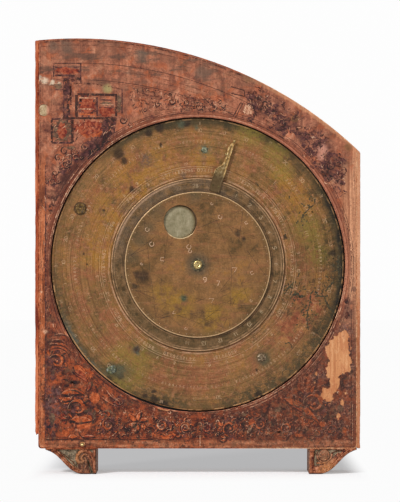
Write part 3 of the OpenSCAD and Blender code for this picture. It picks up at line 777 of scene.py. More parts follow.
def lunar_colour(f):
    """The lunar disc: brown with ochre and green stains and a grey halo round the post."""
    wide = f.noise(20, 6, 0.6, distort=0.5)
    patch = f.noise(5.5, 7, 0.66)
    mixed = f.plus(f.times(wide, 0.55), f.times(patch, 0.45))
    f.colour = f.ramp(mixed, (0.38, (100, 80, 54)), (0.47, (128, 97, 64)), (0.55, (144, 108, 72)),
        (0.63, (152, 112, 66)))
    streak = f.noise(3, 5, 0.6, stretch=(0.25, 1, 1))
    f.lay(f.level(streak, 0.52, 0.64), (150, 104, 74), 0.5)
    gold = f.spots([(-12, 116, 9), (-22, 122, 8), (10, 106, 9), (28, 122, 8)], 0.7, 3)
    f.lay(f.times(gold, f.level(patch, 0.4, 0.56)), (150, 120, 50), 0.7)
    halo = f.level(f.radius(1.5), 11.5, 4.5)
    f.lay(halo, (92, 84, 70), 0.75)
    greyed = f.spots([(-40, 160, 6), (-34, 168, 5), (-28, 178, 6), (-2, 189, 4), (-44, 148, 5)], 0.7, 2.5)
    f.lay(greyed, (90, 84, 66), 0.6)
    dark = f.spots(
        [(-41, 136, 2.2), (-37, 134.5, 4.2), (-43, 128, 2), (27, 164, 2.2), (-9.5, 119.5, 1.3), (31, 160, 1.4)], 0.6,
        1.6)
    f.lay(dark, (56, 48, 36), 0.8)
    f.lay(f.spots([(-9.6, 119.8, 2.2)], 0.7, 1), (74, 92, 74), 0.8)
    # Painted highlight on the window's lower edge
    window_highlight = f.times(f.level(f.far(WINDOW_X, WINDOW_Z), 11.8, 11.5), f.level(f.z, WINDOW_Z - 6, WINDOW_Z - 9))
    f.lay(window_highlight, (226, 206, 166), 0.9)
    rim = f.times(f.level(f.radius(1.5), 44, 48.6), f.level(patch, 0.42, 0.56))
    f.lay(rim, (96, 84, 58), 0.55)
    # Painted highlight along the disc's outer edge
    f.lay(f.level(f.radius(), 48.75, 49.15), (210, 180, 140), 0.85)
    pits = f.patches(0.65, 0.72, 0.8, 4, 0.75)
    f.lay(pits, (62, 48, 36), 0.7)
    f.tint(0.98, 0.9, 0.82)


def brass(name, colours, metallic=0.45, rough=(0.36, 0.56), fill=None, hold=0.5, seed=0, lost=None):
    """Engraved brass. With a fill it is the same brass under strokes rubbed full of chalk that is partly lost."""
    f = Finish(name, metallic=metallic, seed=seed)
    colours(f)
    f.seed = 300 + seed
    if fill is not None:
        kept = f.level(f.noise(9, 7, 0.74), hold - 0.1, hold + 0.04)
        if lost is not None:
            kept = f.times(kept, lost(f))
        f.colour = f.mix(f.times(kept, 0.9), f.colour, fill)
    height = brass_wear(f, 0.5)
    roughness = f.level(f.noise(4, 6, 0.66), 0.34, 0.66, *rough)
    return f.done(roughness, height, 0.12, 0.7)


def metal(name, tones, size, metallic, rough, spots=None, seed=0):
    """Plain small metalwork in three tones, with stains."""
    f = Finish(name, metallic=metallic, seed=seed)
    blotch = f.noise(size, 6, 0.66)
    f.colour = f.ramp(blotch, (0.36, tones[0]), (0.5, tones[1]), (0.62, tones[2]))
    if spots is not None:
        f.lay(f.patches(0.5, 0.6, size * 1.7, 6, 0.7), spots, 0.7)
    height = brass_wear(f, 0.4)
    return f.done(f.level(blotch, 0.3, 0.7, *rough), height, 0.1, 0.7)


# Drawn marks

DIGITS = {"0": [[(0, 1), (0, 5), (1, 6), (3, 6), (4, 5), (4, 1), (3, 0), (1, 0), (0, 1)]], "1": [
    [(1, 5), (2, 6), (2, 0)]], "2": [[(0, 5), (1, 6), (3, 6), (4, 5), (4, 4), (0, 0), (4, 0)]], "3": [
    [(0, 6), (4, 6), (2, 3.6), (4, 2.4), (4, 1), (3, 0), (1, 0), (0, 1)]], "4": [[(3, 0), (3, 6), (0, 2), (4, 2)]],
    "5": [[(4, 6), (0, 6), (0, 3.5), (3, 3.5), (4, 2.5), (4, 1), (3, 0), (0, 0)]], "6": [
    [(4, 6), (1, 4.5), (0, 2.5), (0, 1), (1, 0), (3, 0), (4, 1), (4, 2.4), (3, 3.4), (0.3, 3)]], "7": [
    [(0, 6), (4, 6), (1.4, 0)]], "8": [
    [(2, 3.3), (0.4, 4.6), (1, 6), (3, 6), (3.6, 4.6), (2, 3.3), (0, 1.4), (1, 0), (3, 0), (4, 1.4), (2, 3.3)]],
    "9": [[(4, 3), (1, 2.6), (0, 3.8), (0, 5), (1, 6), (3, 6), (4, 5), (4, 3), (3.4, 1.2), (1, 0)]], "I": [
    [(0.8, 0), (0.8, 6)]], "V": [[(0, 6), (1.7, 0), (3.4, 6)]], "X": [[(0, 0), (3.6, 6)], [(0, 6), (3.6, 0)]]}
ADVANCE = {"1": 3.6, "I": 2.2, "V": 4.6, "X": 4.8}
WIDE = 5.4


def word(text, radius, clock, height, width, out, jitter=0.12):
    """Numerals struck along a ring, their tops outwards."""
    unit = height / 6
    at = -sum(ADVANCE.get(c, WIDE) for c in text) * unit / 2
    for c in text:
        dr, du = rng.uniform(-jitter, jitter), rng.uniform(-jitter, jitter)
        for stroke in DIGITS[c]:
            points = []
            for u, v in stroke:
                r = radius - height / 2 + v * unit + dr
                points.append(on_dial(r, clock + math.degrees((at + u * unit + du) / r)))
            out.append((points, width))
        at += ADVANCE.get(c, WIDE) * unit


def tick(radius_from, radius_to, clock, width, out):
    out.append(([on_dial(radius_from, clock), on_dial(radius_to, clock)], width))


def arc(cx, cz, radius, start, end, step=4):
    """Points of a circle from one clock angle to another."""
    n = max(2, int(abs(end - start) * math.pi / 180 * radius / step) + 2)
    return [on_dial(radius, start + (end - start) * i / (n - 1), cx, cz) for i in range(n)]


def ring(radius, width, out):
    out.append((arc(*DIAL, radius, 0, 360, 1.5), width))


def straight(ax, az, bx, bz, width, out):
    n = max(3, int(math.hypot(bx - ax, bz - az) / 1.2))
    out.append(([(ax + (bx - ax) * i / n, az + (bz - az) * i / n) for i in range(n + 1)], width))


def cut(lines, clear):
    """The stretches of the lines that are clear, as clear(x, z, width) says."""
    kept = []
    for points, widths in lines:
        run = []
        for p, width in zip(points, for_each(widths, points)):
            inside = clear(*p, width)
            if inside:
                run.append((p, width))
            if not inside or p is points[-1]:
                if len(run) > 1:
                    kept.append(([p for p, _ in run], [w for _, w in run]))
                run = []
    return kept


# The board

BOARD_MIDDLE = 140


def on_board(x, z, margin):
    """Whether a point lies on the printed face with a margin to its edges and the recess."""
    if abs(x) > BOARD_RIGHT - margin or z < BOARD_LOW + margin:
        return False
    if math.hypot(x - ARC_X, z - ARC_Z) > ARC_R - margin:
        return False
    return math.hypot(x, z - DIAL_Z) > RECESS_R + margin * 0.6


def arc_top(x, inset=0):
    return ARC_Z + math.sqrt((ARC_R - inset) ** 2 - (x - ARC_X) ** 2)


def board_loop(margin, wear):
    """The board's outline clockwise from its lower left corner, worn inwards a little."""
    left, right, low = BOARD_LEFT + margin, BOARD_RIGHT - margin, BOARD_LOW + margin
    corner, chamfer = 2, 0.6
    sides, top, base = 90, 130, 110
    path = [(left, low + corner + (arc_top(left, margin) - low - corner) * i / sides) for i in range(sides)]
    path += [(left + (right - left) * i / top, arc_top(left + (right - left) * i / top, margin)) for i in range(top)]
    path += [
        (right, arc_top(right, margin) + (low + corner - arc_top(right, margin)) * i / sides) for i in range(sides)]
    path += [(right - chamfer, low + chamfer)]
    path += [(right - corner + (left - right + 2 * corner) * i / base, low) for i in range(base + 1)]
    path += [(left + chamfer, low + chamfer)]
    out = []
    for x, z in path:
        pull = max(0, waver(x * 0.35, z * 0.35, 1.7) * 0.7 + waver(x * 0.06, z * 0.06, 9.1) * 0.5) * wear
        dx, dz = 0 - x, BOARD_MIDDLE - z
        d = math.hypot(dx, dz)
        out.append((x + dx / d * pull, z + dz / d * pull))
    return out


def recess_loop():
    """The facing's round edge with the chips that have broken from it, each a clock angle, a depth and a width."""
    chips = [(193.5, 1.6, 3), (242.5, 1.3, 1.6), (206, 0.8, 2), (131, 0.7, 1.2), (308, 0.6, 1), (187, 0.5, 4)]
    loop = []
    for k in range(720):
        a = k / 2
        r = RECESS_R + 0.05 + 0.16 * abs(waver(sine(a) * 30, cosine(a) * 30, 0))
        for at, depth, width in chips:
            near = 1 - abs(a - at) / width
            if near > 0:
                r += depth * min(1, near * 1.8)
        loop.append(on_dial(r, a))
    return loop


def ragged(points, levels, amount, decay=0.74):
    """A torn edge: each side is broken again and again by smaller and smaller amounts."""
    for _ in range(levels):
        out = []
        for i, (ax, az) in enumerate(points):
            bx, bz = points[(i + 1) % len(points)]
            length = math.hypot(bx - ax, bz - az)
            push = rng.uniform(-1, 1) * amount * min(1, length / 4)
            out += [(ax, az), ((ax + bx) / 2 - (bz - az) / (length or 1) * push,
                (az + bz) / 2 + (bx - ax) / (length or 1) * push)]
        points = out
        amount *= decay
    return points


def flake(cx, cz, w, h):
    corners = [math.tau * k / 7 for k in range(7)]
    return ragged([(cx + w / 2 * math.cos(a) * rng.uniform(0.6, 1.1),
        cz + h / 2 * math.sin(a) * rng.uniform(0.6, 1.1)) for a in corners], 2, 0.5)


# Outline of the worn-through patch, in shares of its width and height
LOSS = [(0.25, 0), (0.07, 0.06), (0, 0.2), (0.22, 0.21), (0.28, 0.35), (0.15, 0.39), (0.2, 0.53), (0.15, 0.71),
    (0.25, 0.83), (0.4, 0.91), (0.68, 0.97), (0.78, 1), (0.94, 0.89), (1, 0.61), (0.98, 0.48), (0.78, 0.41),
    (0.54, 0.37), (0.58, 0.23), (0.43, 0.15)]
rng = random.Random(25)
loss = ragged([(83.9 + u * 20.6, 47.2 + v * 51.7) for u, v in LOSS], 4, 1.6, 0.95)
flakes = [flake(*place) for place in ((80.6, 68.5, 2.4, 3.4), (98.2, 48.6, 3, 5.6), (95.4, 39.5, 3.6, 6),
    (100.4, 55.2, 1.8, 2.4), (79.4, 62.4, 1.4, 1.8), (104, 86, 1.2, 4.2), (96.6, 102.4, 1.2, 2.6))]
apex_hole = arc(*APEX, 1.9, 0, 345, 0.5)
plug_hole = arc(*PLUG, 4.06, 0, 354, 0.5)

slab("facing", [board_loop(0.6, 0.5), recess_loop(), loss, apex_hole, plug_hole] + flakes, FACING_Y, WOOD_Y, 0.07,
    paper("printed_paper"), "board", ["printed_facing"])
bevel_edges(refinish("panel", bare_wood("board_wood")), 0.35)


def lath(name, x_out, x_in, low_points, replaces, material):
    side = 1 if x_out > x_in else -1
    steps = 120
    z_low = low_points[-1][1]
    outer = []
    for i in range(steps + 1):
        z = z_low + (arc_top(x_out) - 0.5 - z_low) * i / steps
        wear = max(0, waver(z * 0.09, side * 3, 0.5)) * 0.5 + max(0, waver(z * 0.4, side * 5, 2.5)) * 0.25
        outer.append((x_out - side * wear, z))
    loop = low_points + outer + [(x_out - side * 0.7, arc_top(x_out - side * 0.7) - 0.05),
        (x_in, arc_top(x_in) - 0.1)]
    slab(name, [loop], WOOD_Y - 0.02, BACK_Y, 0.3, material, "board", [replaces])


broken = [(-108.4, 28.8), (-108.7, 27.2), (-109.1, 27.9), (-109.5, 26.7), (-110, 27.4), (-110.3, 28.6),
    (-110.6, 29.4)]
lath("left_lath", -110.6, -108.4, broken, "left_edge_lath",
    painted_wood("lath_wood", ((120, 54, 38), (172, 84, 54), (206, 122, 84)), (214, 150, 112), 40, 5))
lath("right_lath", 110.6, 108.4, [(108.4, 17.6), (110.2, 17.6), (110.6, 18.4)], "right_edge_lath",
    painted_wood("pale_lath_wood", ((150, 90, 66), (188, 130, 98), (206, 152, 118)), (218, 170, 134), 44, 6,
    lower=(168, 98, 62)))


# The print on the facing

def spiral(cx, cz, r_out, r_in, turns, start, way, n=34):
    points = []
    for i in range(n):
        t = i / (n - 1)
        r = r_out * (r_in / r_out) ** t
        points.append(on_dial(r, start + way * 360 * turns * t, cx, cz))
    return points


PRINT_MARGIN = 0.7


def printable(x, z, width=0):
    return on_board(x, z, PRINT_MARGIN + width / 2) and not bare_place(x, z)


def drawn_in(x, z, mx, mz):
    """The place pulled towards a middle until it lies on the printed face."""
    while not printable(x, z) and math.hypot(x - mx, z - mz) > 0.05:
        x, z = x + (mx - x) * 0.1, z + (mz - z) * 0.1
    return x, z


def keep_on_board(lines):
    """Cuts the lines where they leave the printed face or run over a bare place."""
    kept = []
    for points, widths in lines:
        if widths is not None:
            kept += cut([(points, widths)], printable)
            continue
        mx, mz = middle_of(points)
        if printable(mx, mz):
            kept.append(([drawn_in(x, z, mx, mz) for x, z in points], None))
    return kept


def in_polygon(x, z, points):
    inside = False
    for i in range(len(points)):
        ax, az = points[i]
        bx, bz = points[i - 1]
        if (az > z) != (bz > z) and x < (bx - ax) * (z - az) / (bz - az) + ax:
            inside = not inside
    return inside


def bare_place(x, z):
    if any(math.hypot(x - px, z - pz) < pr for px, pz, pr in ((*PLUG, 4.8), (*APEX, 2.6))):
        return True
    if x < 76 or z > 106:
        return False
    return any(in_polygon(x, z, edge) for edge in [loss] + flakes)


# The print's colours in three tones each, how much of each has worn away, and its height, from the ground up
PAINTS = {"line": ((64, 36, 32), (92, 54, 44), (122, 78, 60), 0.54, 0.016),
    "purple": ((54, 36, 40), (80, 52, 52), (112, 74, 68), 0.5, 0.024),
    "olive": ((70, 52, 46), (98, 76, 62), (124, 100, 78), 0.48, 0.032),
    "orange": ((128, 60, 38), (166, 82, 48), (196, 108, 70), 0.45, 0.04),
    "red": ((100, 42, 32), (140, 64, 46), (168, 92, 66), 0.47, 0.048),
    "dark": ((34, 24, 26), (52, 31, 31), (84, 50, 44), 0.48, 0.056),
    "pale": ((168, 112, 84), (196, 144, 114), (222, 182, 150), 0.53, 0.064)}
paint = {tone: [] for tone in PAINTS}


def beside(points, widths, share):
    """The line that runs at a share of the half width to the left of a stroke, with its outward directions."""
    line, out = [], []
    for i, (x, z) in enumerate(points):
        dx, dz, d = neighbours(points, i)
        nx, nz = -dz / d, dx / d
        line.append((x + nx * widths[i] / 2 * share, z + nz * widths[i] / 2 * share))
        out.append((nx * share, nz * share))
    return line, out


def swell(n, thick, lead=0.35, least=0.15):
    """Widths that swell from nearly nothing to the full width at the lead and fall away again."""
    out = []
    for i in range(n):
        t = i / (n - 1)
        s = t / lead if t < lead else (1 - t) / (1 - lead)
        out.append(thick * (least + (1 - least) * math.sin(s * math.pi / 2)))
    return out


def modelled(points, widths, tone="orange", rim=0.7, glint=0.4):
    """A painted form lit from the upper left: dark below and at the right, with a pale line along its lit side."""
    paint[tone].append((points, widths))
    for share in (1, -1):
        line, out = beside(points, widths, share)
        shade = [max(0, a * 0.6 - b * 0.8) for a, b in out]
        paint["dark"].append((line, [rim * (0.35 + 1.7 * v) for v in shade]))
        if glint:
            inner, _ = beside(points, widths, share * 0.5)
            light = [max(0, b * 0.8 - a * 0.6) for a, b in out]
            run = [(p, 0.7 * glint * v ** 0.5) for p, v in zip(inner, light) if v > 0.6]
            if len(run) > 2:
                paint["pale"].append(([p for p, _ in run], [w for _, w in run]))


def curve(x, z, length, angle, bend, n=10):
    """Points from a place, off at a clock angle and bending evenly by so many degrees."""
    points, a = [(x, z)], angle
    for _ in range(n - 1):
        px, pz = points[-1]
        points.append(on_dial(length / (n - 1), a, px, pz))
        a += bend / (n - 1)
    return points


def leaf(x, z, length, angle, bend, thick, tone="orange", rim=0.6, glint=0.3):
    modelled(curve(x, z, length, angle, bend), swell(10, thick), tone, rim, glint)


def stroke(tone, x, z, length, angle, bend, thick, n=10, lead=0.35, least=0.15):
    paint[tone].append((curve(x, z, length, angle, bend, n), swell(n, thick, lead, least)))


def crescent(x, z, r, start, end, thick, step=1):
    line = arc(x, z, r, start, end, step)
    paint["dark"].append((line, swell(len(line), thick)))


def blob(x, z, w, h, tone):
    """A dab of paint with a ragged edge."""
    n = 18 + int(w + h)
    reach = [rng.uniform(0.72, 1.12) for _ in range(n)]
    outline = [(x + w / 2 * reach[i] * math.sin(math.tau * i / n),
        z + h / 2 * reach[i] * math.cos(math.tau * i / n)) for i in range(n)]
    paint[tone].append((outline, None))


def blobs(tone, places):
    for place in places:
        blob(*place, tone)


def curl(x, z, r, start, way, tone, thick, turns=0.85):
    paint[tone].append((spiral(x, z, r, r * 0.3, turns, start, way, 14), swell(14, thick, 0.4, 0.3)))


def volute(cx, cz, r, start, way, turns=1.1, tone="orange", leaves=4, rim=0.8):
    """A scroll of foliage on a dark ground: leaves along its back, a tapering stem and a flower at its eye."""
    blob(cx, cz, r * 2.5, r * 2.3, "purple")
    for k in range(leaves):
        t = (k + 0.2) / leaves * 0.7
        a = start + way * 360 * turns * t
        x, z = on_dial(r * 0.4 ** t * 1.02, a, cx, cz)
        leaf(x, z, r * (0.85 - 0.3 * t), a - way * 10, way * 105, r * 0.34, tone, rim * 0.8)
        leaf(x, z, r * (0.6 - 0.2 * t), a + way * 35, way * 90, r * 0.24, tone, rim * 0.7)
    stem = spiral(cx, cz, r * 0.86, r * 0.34, turns, start, way, 36)
    modelled(stem, swell(36, r * 0.36, 0.5, 0.4), tone, rim)
    modelled([on_dial(r * 0.1, 90, cx, cz), (cx, cz), on_dial(r * 0.1, 270, cx, cz)], [r * 0.24, r * 0.34, r * 0.24],
        tone, rim * 0.7)


def bar(ax, az, bx, bz, width, tone):
    straight(ax, az, bx, bz, width, paint[tone])


def curls(places, thick, turns, light, light_thick, aside):
    """Dark curls, each with a thinner one in a lighter colour in it."""
    for x, z, r, start, way in places:
        curl(x, z, r, start, way, "dark", thick, turns)
        curl(x + aside, z + 0.5, r * 0.8, start, way, light, light_thick, 1)


rng = random.Random(23)
# Lower left: a round boss, leaves and a large scroll under them
volute(-95.6, 76.6, 6.4, 300, 1, 0.9, "orange", 3, 0.9)
for r, start, end in ((9.2, -30, 95), (11.2, -20, 70), (13.4, -12, 40)):
    crescent(-95.6, 76.6, r, start, end, 0.9, 1.5)
for x, z, length, angle, bend in ((-99, 90, 11, 70, 60), (-97, 94, 12, 75, 50), (-101, 87, 8, 60, 60)):
    stroke("dark", x, z, length, angle, bend, 0.8)
    stroke("pale", x, z + 1, length * 0.8, angle, bend, 0.35)
leaf(-84.5, 73.5, 12.5, 118, 30, 6.4, "orange", 1, 0.8)
leaf(-85, 70, 13, 105, 50, 4.4, "red", 1, 0.5)
blob(-77, 68.6, 12, 9, "orange")
blob(-81.4, 69, 5.6, 4.8, "orange")
blob(-83.8, 62.3, 7, 2.8, "dark")
blob(-89, 60.2, 4, 1.6, "dark")
leaf(-72.6, 63.5, 8.6, 190, 20, 2.6, "red", 0.9, 0.4)
leaf(-93, 54, 17, 62, 62, 5.4, "orange", 1.1, 0.6)
leaf(-92.5, 49.5, 9, 50, 80, 4, "orange", 0.9, 0.4)
stroke("dark", -87.6, 57.2, 12, 88, 60, 1.3)
blobs("orange", ((-88, 51, 12, 8), (-77, 36, 12, 10), (-89, 29, 8, 6), (-70, 52, 8, 8)))
volute(-81.4, 44.8, 8.6, 215, 1, 1, "orange", 3, 1.3)
crescent(-81.4, 44.8, 6.3, 250, 330, 2.4)
crescent(-81.4, 44.2, 6.4, 50, 130, 2.6)
blob(-70.4, 40, 2.6, 9, "olive")
leaf(-86, 37, 14, 80, 30, 6, "orange", 1, 0.5)
leaf(-92.6, 41.5, 8, 150, 30, 4.4, "red", 0.9, 0.5)
blobs("dark", ((-86.4, 35.6, 2.4, 2.6), (-71.2, 36, 2.6, 2.4), (-70, 31.6, 2.2, 1.8), (-90.6, 31, 2, 1.4)))
leaf(-87.6, 24.8, 6, 60, 60, 4.4, "orange", 0.9, 0.5)
stroke("dark", -81, 29.6, 6.5, 170, -50, 0.9)
leaf(-78.5, 25.2, 9, 75, 30, 2.6, "red", 0.8, 0.4)
# Tendrils that climb beside the recess
for x, z, length, angle, bend, thick in ((-63, 57, 12, 150, -40, 0.9), (-60, 55, 10, 145, -30, 0.6),
        (-66, 52, 12, 130, -20, 0.8)):
    stroke("dark", x, z, length, angle, bend, thick)
    stroke("pale", x + 0.9, z + 0.6, length, angle, bend, 0.35)
volute(-53.6, 49.6, 3.4, 100, 1, 1, "red", 2, 0.7)
# Along the bottom
volute(-60.6, 33.6, 5.6, 20, -1, 1, "orange", 3, 0.8)
for k in range(6):
    leaf(*on_dial(1.4, 60 * k + 12, -40.6, 35.4), 6.4, 60 * k - 10, 70, 3.6, "orange", 0.9, 0.6)
blob(-47.4, 30.4, 6, 4.2, "dark")
blob(-41.2, 36, 2.2, 2, "dark")
volute(-24.2, 33.4, 5, 340, -1, 1.1, "orange", 3, 0.8)
curl(-24.2, 33, 4.2, 0, -1, "pale", 0.8)
volute(-8.4, 31.6, 5.4, 200, 1, 1.1, "orange", 4, 0.8)
curl(-8.2, 31.8, 3.8, 190, 1, "pale", 0.7)
volute(6.6, 31.4, 4.4, 10, -1, 1, "red", 3, 0.8)
volute(22.2, 31, 6.6, 190, 1, 1, "orange", 3, 1)
for x, z in ((20.8, 31.6), (23.8, 30.8)):
    blob(x, z, 1.6, 1.5, "dark")
leaf(34, 27.5, 8.5, 20, 30, 3.4, "olive", 0.7, 0.3)
volute(43, 34, 5.2, 0, -1, 1, "orange", 3, 0.9)
volute(60.6, 31.2, 5.2, 170, 1, 1.1, "orange", 4, 0.8)
leaf(58.6, 51.5, 29, 112, 28, 6, "orange", 1.3, 0.6)
leaf(64, 47, 18, 128, -10, 3, "red", 1, 0.4)
volute(79.4, 47.8, 9, 250, 1, 1, "orange", 3, 1.3)
crescent(79.4, 47.8, 7.6, 240, 350, 2.4)
volute(91, 30, 4.4, 90, -1, 1, "red", 3, 0.9)
volute(81.5, 27.4, 3.4, 200, 1, 1, "orange", 2, 0.7)
blob(77.6, 24, 2.2, 4.2, "olive")
blobs("dark", ((-0.8, 25.6, 8, 2), (52, 34, 4, 6), (66, 38, 5, 4), (33, 38.6, 8, 3), (88, 38, 6, 3.4), (14, 27, 4, 3),
    (97, 26.6, 4, 3.4), (-14.6, 28, 3, 2.2), (72.4, 29.4, 3.4, 4), (98, 62, 3, 6), (101.6, 108, 4, 5),
    (101, 117.6, 3.4, 3.6), (69.6, 55, 4.4, 3)))
blobs("orange", ((-21, 25.4, 9, 3), (-17, 26.8, 6, 2.4), (4.4, 38, 4, 2), (48.6, 28, 5, 2), (68.6, 26.4, 6, 2.4)))
# Deep crescents and lobes that give the scrolls their weight
for x, z, length, angle, bend, thick, tone in ((-99, 60, 12, 170, -40, 3.2, "purple"),
        (-99.6, 46, 14, 175, 10, 3.6, "purple"), (-98.4, 30, 8, 170, 30, 3, "purple"),
        (-90, 45, 8, 150, -60, 2.2, "dark"), (-91.8, 64.6, 9, 95, 40, 1.8, "dark"),
        (-76, 58, 8, 150, 40, 1.8, "dark"), (-74.8, 49, 7, 170, -30, 2, "dark"),
        (-68, 45.6, 8, 140, -50, 1.6, "dark"), (-64.6, 27.4, 9, 60, 60, 1.8, "dark"),
        (-54, 38.4, 7, 150, 80, 2, "dark"), (-50, 34, 6, 180, -80, 1.8, "dark"), (-35, 31, 7, 60, 100, 1.8, "dark"),
        (-31, 37.4, 7, 110, 60, 1.5, "dark"), (-17.6, 35.6, 7, 150, 80, 2, "dark"), (-15, 27, 8, 70, 40, 1.7, "dark"),
        (-1.4, 35, 6, 160, 70, 1.8, "dark"), (12.6, 34.6, 7, 160, 60, 2, "dark"), (14.6, 27, 6, 60, 60, 1.5, "dark"),
        (30, 34.6, 8, 150, 60, 2.2, "dark"), (36.6, 29.4, 6, 190, -80, 1.8, "dark"),
        (50, 36, 8, 150, 70, 2.2, "dark"), (52, 27.6, 7, 60, 60, 1.6, "dark"), (68, 36, 9, 150, 60, 2.4, "dark"),
        (70.6, 45.6, 9, 60, 60, 2.2, "dark"), (88, 47, 10, 160, 60, 2.4, "dark"), (90.6, 38, 8, 110, 70, 2, "dark"),
        (96.6, 52, 12, 170, 30, 2.6, "purple"), (98.6, 36, 10, 175, 0, 3, "purple"), (84, 60, 8, 70, 50, 1.8, "dark"),
        (98.4, 76, 12, 165, 10, 2.8, "purple")):
    stroke(tone, x, z, length, angle, bend, thick)
for x, z, w, h, tone in ((-98.6, 67, 4, 8, "purple"), (-99, 38, 4.4, 9, "olive"), (-60.8, 42.6, 5, 3, "olive"),
        (-45.6, 40, 4.4, 3, "orange"), (-29.6, 26.8, 5, 3, "orange"), (-3, 29, 4, 4.4, "olive"),
        (13.6, 31.4, 4, 4, "orange"), (30.6, 40.4, 6, 3, "olive"), (37, 35, 5, 5, "orange"),
        (54.6, 44, 6, 4, "olive"), (72, 41, 5, 4, "orange"), (88.4, 55, 6, 5, "olive"), (97, 45, 4, 6, "olive"),
        (85, 34, 5, 4, "orange"), (99.6, 30, 3.6, 5, "orange")):
    blob(x, z, w, h, tone)
# Small foliage that fills the strip and the corners: leaves, curls and light dabs
for _ in range(170):
    x = rng.uniform(-70, 100)
    high = 42 - 10 * math.cos(x / 66 * math.pi / 2) if abs(x) < 66 else 44
    z = rng.uniform(26, high)
    leaf(x, z, rng.uniform(1.6, 3.6), rng.uniform(0, 360), rng.uniform(60, 150) * rng.choice((-1, 1)),
        rng.uniform(0.7, 1.5), rng.choice(("orange", "orange", "red")), 0.5, 0.24)
for _ in range(150):
    x = rng.uniform(-104, 104)
    z = rng.uniform(25, 46 if abs(x) < 66 else 92)
    if x > -90 or rng.random() < 0.5:
        curl(x, z, rng.uniform(0.7, 1.7), rng.uniform(0, 360), rng.choice((-1, 1)),
            rng.choice(("dark", "dark", "pale")), rng.uniform(0.3, 0.6))
for _ in range(170):
    x = rng.uniform(-70, 60) if rng.random() < 0.7 else rng.uniform(-104, 104)
    stroke("pale", x, rng.uniform(25, 42), rng.uniform(0.6, 1.6), rng.uniform(0, 360), 80, rng.uniform(0.25, 0.5), 4)
bar(1.6, 19.4, 1.6, 26.4, 0.5, "pale")
# Left strip
for x, z, r, way in ((-90, 211, 3.6, 1), (-83, 215.5, 3, -1), (-99, 199, 3.4, -1)):
    volute(x, z, r, 120, way, 1, "red", 3, 0.7)
for _ in range(46):
    x, z = rng.uniform(-105, -96), rng.uniform(98, 205)
    if math.hypot(x, z - DIAL_Z) > 104:
        stroke(rng.choice(("dark", "line", "pale")), x, z, rng.uniform(2, 6), rng.uniform(-30, 30),
            rng.uniform(-60, 60), rng.uniform(0.4, 0.8), 6)
# Upper left: mouldings of nested frames with shaded sides
for x, z, w, h, tone in ((-88.6, 260, 5.4, 19, "purple"), (-85, 268.6, 13, 4.4, "purple"),
        (-89.4, 246.4, 5.4, 10.4, "purple"), (-94.2, 264, 6, 5, "olive"), (-89, 274.4, 17, 5, "red"),
        (-75.6, 250.4, 14, 15, "purple"), (-75, 250.8, 11, 12.6, "red"), (-62, 246.4, 12, 7, "red"),
        (-53.6, 252.4, 4, 13, "olive"), (-92.4, 233.4, 14.6, 16, "olive"), (-92.2, 233.4, 7, 12.4, "red"),
        (-74, 235.4, 21, 12, "red"), (-72, 232, 16, 7, "orange"), (-62.4, 236.4, 7.4, 10, "purple"),
        (-66, 229.4, 9, 8, "purple"), (-72.4, 223.4, 9.4, 7, "purple"), (-79, 218, 8, 6, "purple"),
        (-86, 222, 7, 3, "olive"), (-92, 207, 6, 8, "purple"), (-62, 252, 8, 3, "olive")):
    blob(x, z, w, h, tone)
for ax, az, bx, bz, width, tone in ((-98, 279.4, -79, 279.4, 0.6, "dark"), (-98, 279.4, -98, 270, 0.8, "dark"),
        (-97, 276.6, -81, 276.6, 0.8, "dark"), (-96, 274, -80, 274, 1.5, "purple"),
        (-97, 271.2, -83, 271.2, 1, "dark"), (-79.6, 279, -79.6, 266, 0.9, "dark"),
        (-91, 267.6, -79.6, 268.8, 1.2, "dark"), (-91.2, 268, -91.2, 242, 0.7, "dark"),
        (-86.2, 266, -86.2, 251, 1, "dark"), (-97.2, 261.6, -90.6, 261.6, 0.8, "dark"),
        (-84.4, 265.8, -68.6, 265.4, 0.8, "line"), (-88, 255, -88, 246, 1.2, "dark"),
        (-68.6, 265, -52, 262, 0.7, "line"), (-51.4, 262, -51.4, 245.4, 0.8, "dark"),
        (-82, 258.4, -54.6, 257.8, 1.4, "dark"), (-55.4, 257, -55.4, 243.4, 1.2, "dark"),
        (-82.4, 258, -82.4, 242.4, 1.6, "dark"), (-80.6, 256, -69.6, 255.8, 0.8, "pale"),
        (-80.6, 254.4, -69.6, 254.2, 1.1, "dark"), (-80.6, 252.4, -69.6, 252.2, 0.9, "orange"),
        (-80.6, 250.6, -69.6, 250.4, 1.1, "dark"), (-80.6, 248.4, -70.4, 248.2, 0.8, "pale"),
        (-80.6, 246.8, -70.4, 246.6, 1.1, "dark"), (-80.6, 244.8, -70.4, 244.6, 1, "orange"),
        (-68.4, 256.4, -68.4, 243.4, 1, "dark"), (-66.6, 254.6, -57.4, 254.2, 0.8, "dark"),
        (-66.6, 251.4, -57.4, 251.2, 0.5, "pale"), (-67, 249.2, -57, 249, 0.9, "dark"),
        (-92, 242.2, -56, 242, 1.2, "dark"), (-99.4, 241.6, -85.2, 241.6, 1.1, "dark"),
        (-99.2, 241, -99.2, 225.6, 1.2, "dark"), (-85.2, 241, -85.2, 226, 1.4, "dark"),
        (-99, 225.4, -85, 225.4, 1.1, "dark"), (-95.4, 239, -95.4, 228, 0.8, "dark"),
        (-89.2, 239, -89.2, 228, 0.8, "dark"), (-55.6, 242, -57, 232, 0.9, "dark")):
    bar(ax, az, bx, bz, width * 1.25, "purple" if tone == "dark" and width < 1.15 else tone)
stroke("purple", -58, 243, 33, 198, 34, 9, 14, 0.5, 0.6)
stroke("dark", -57, 242, 33, 198, 34, 3.4, 14, 0.5, 0.4)
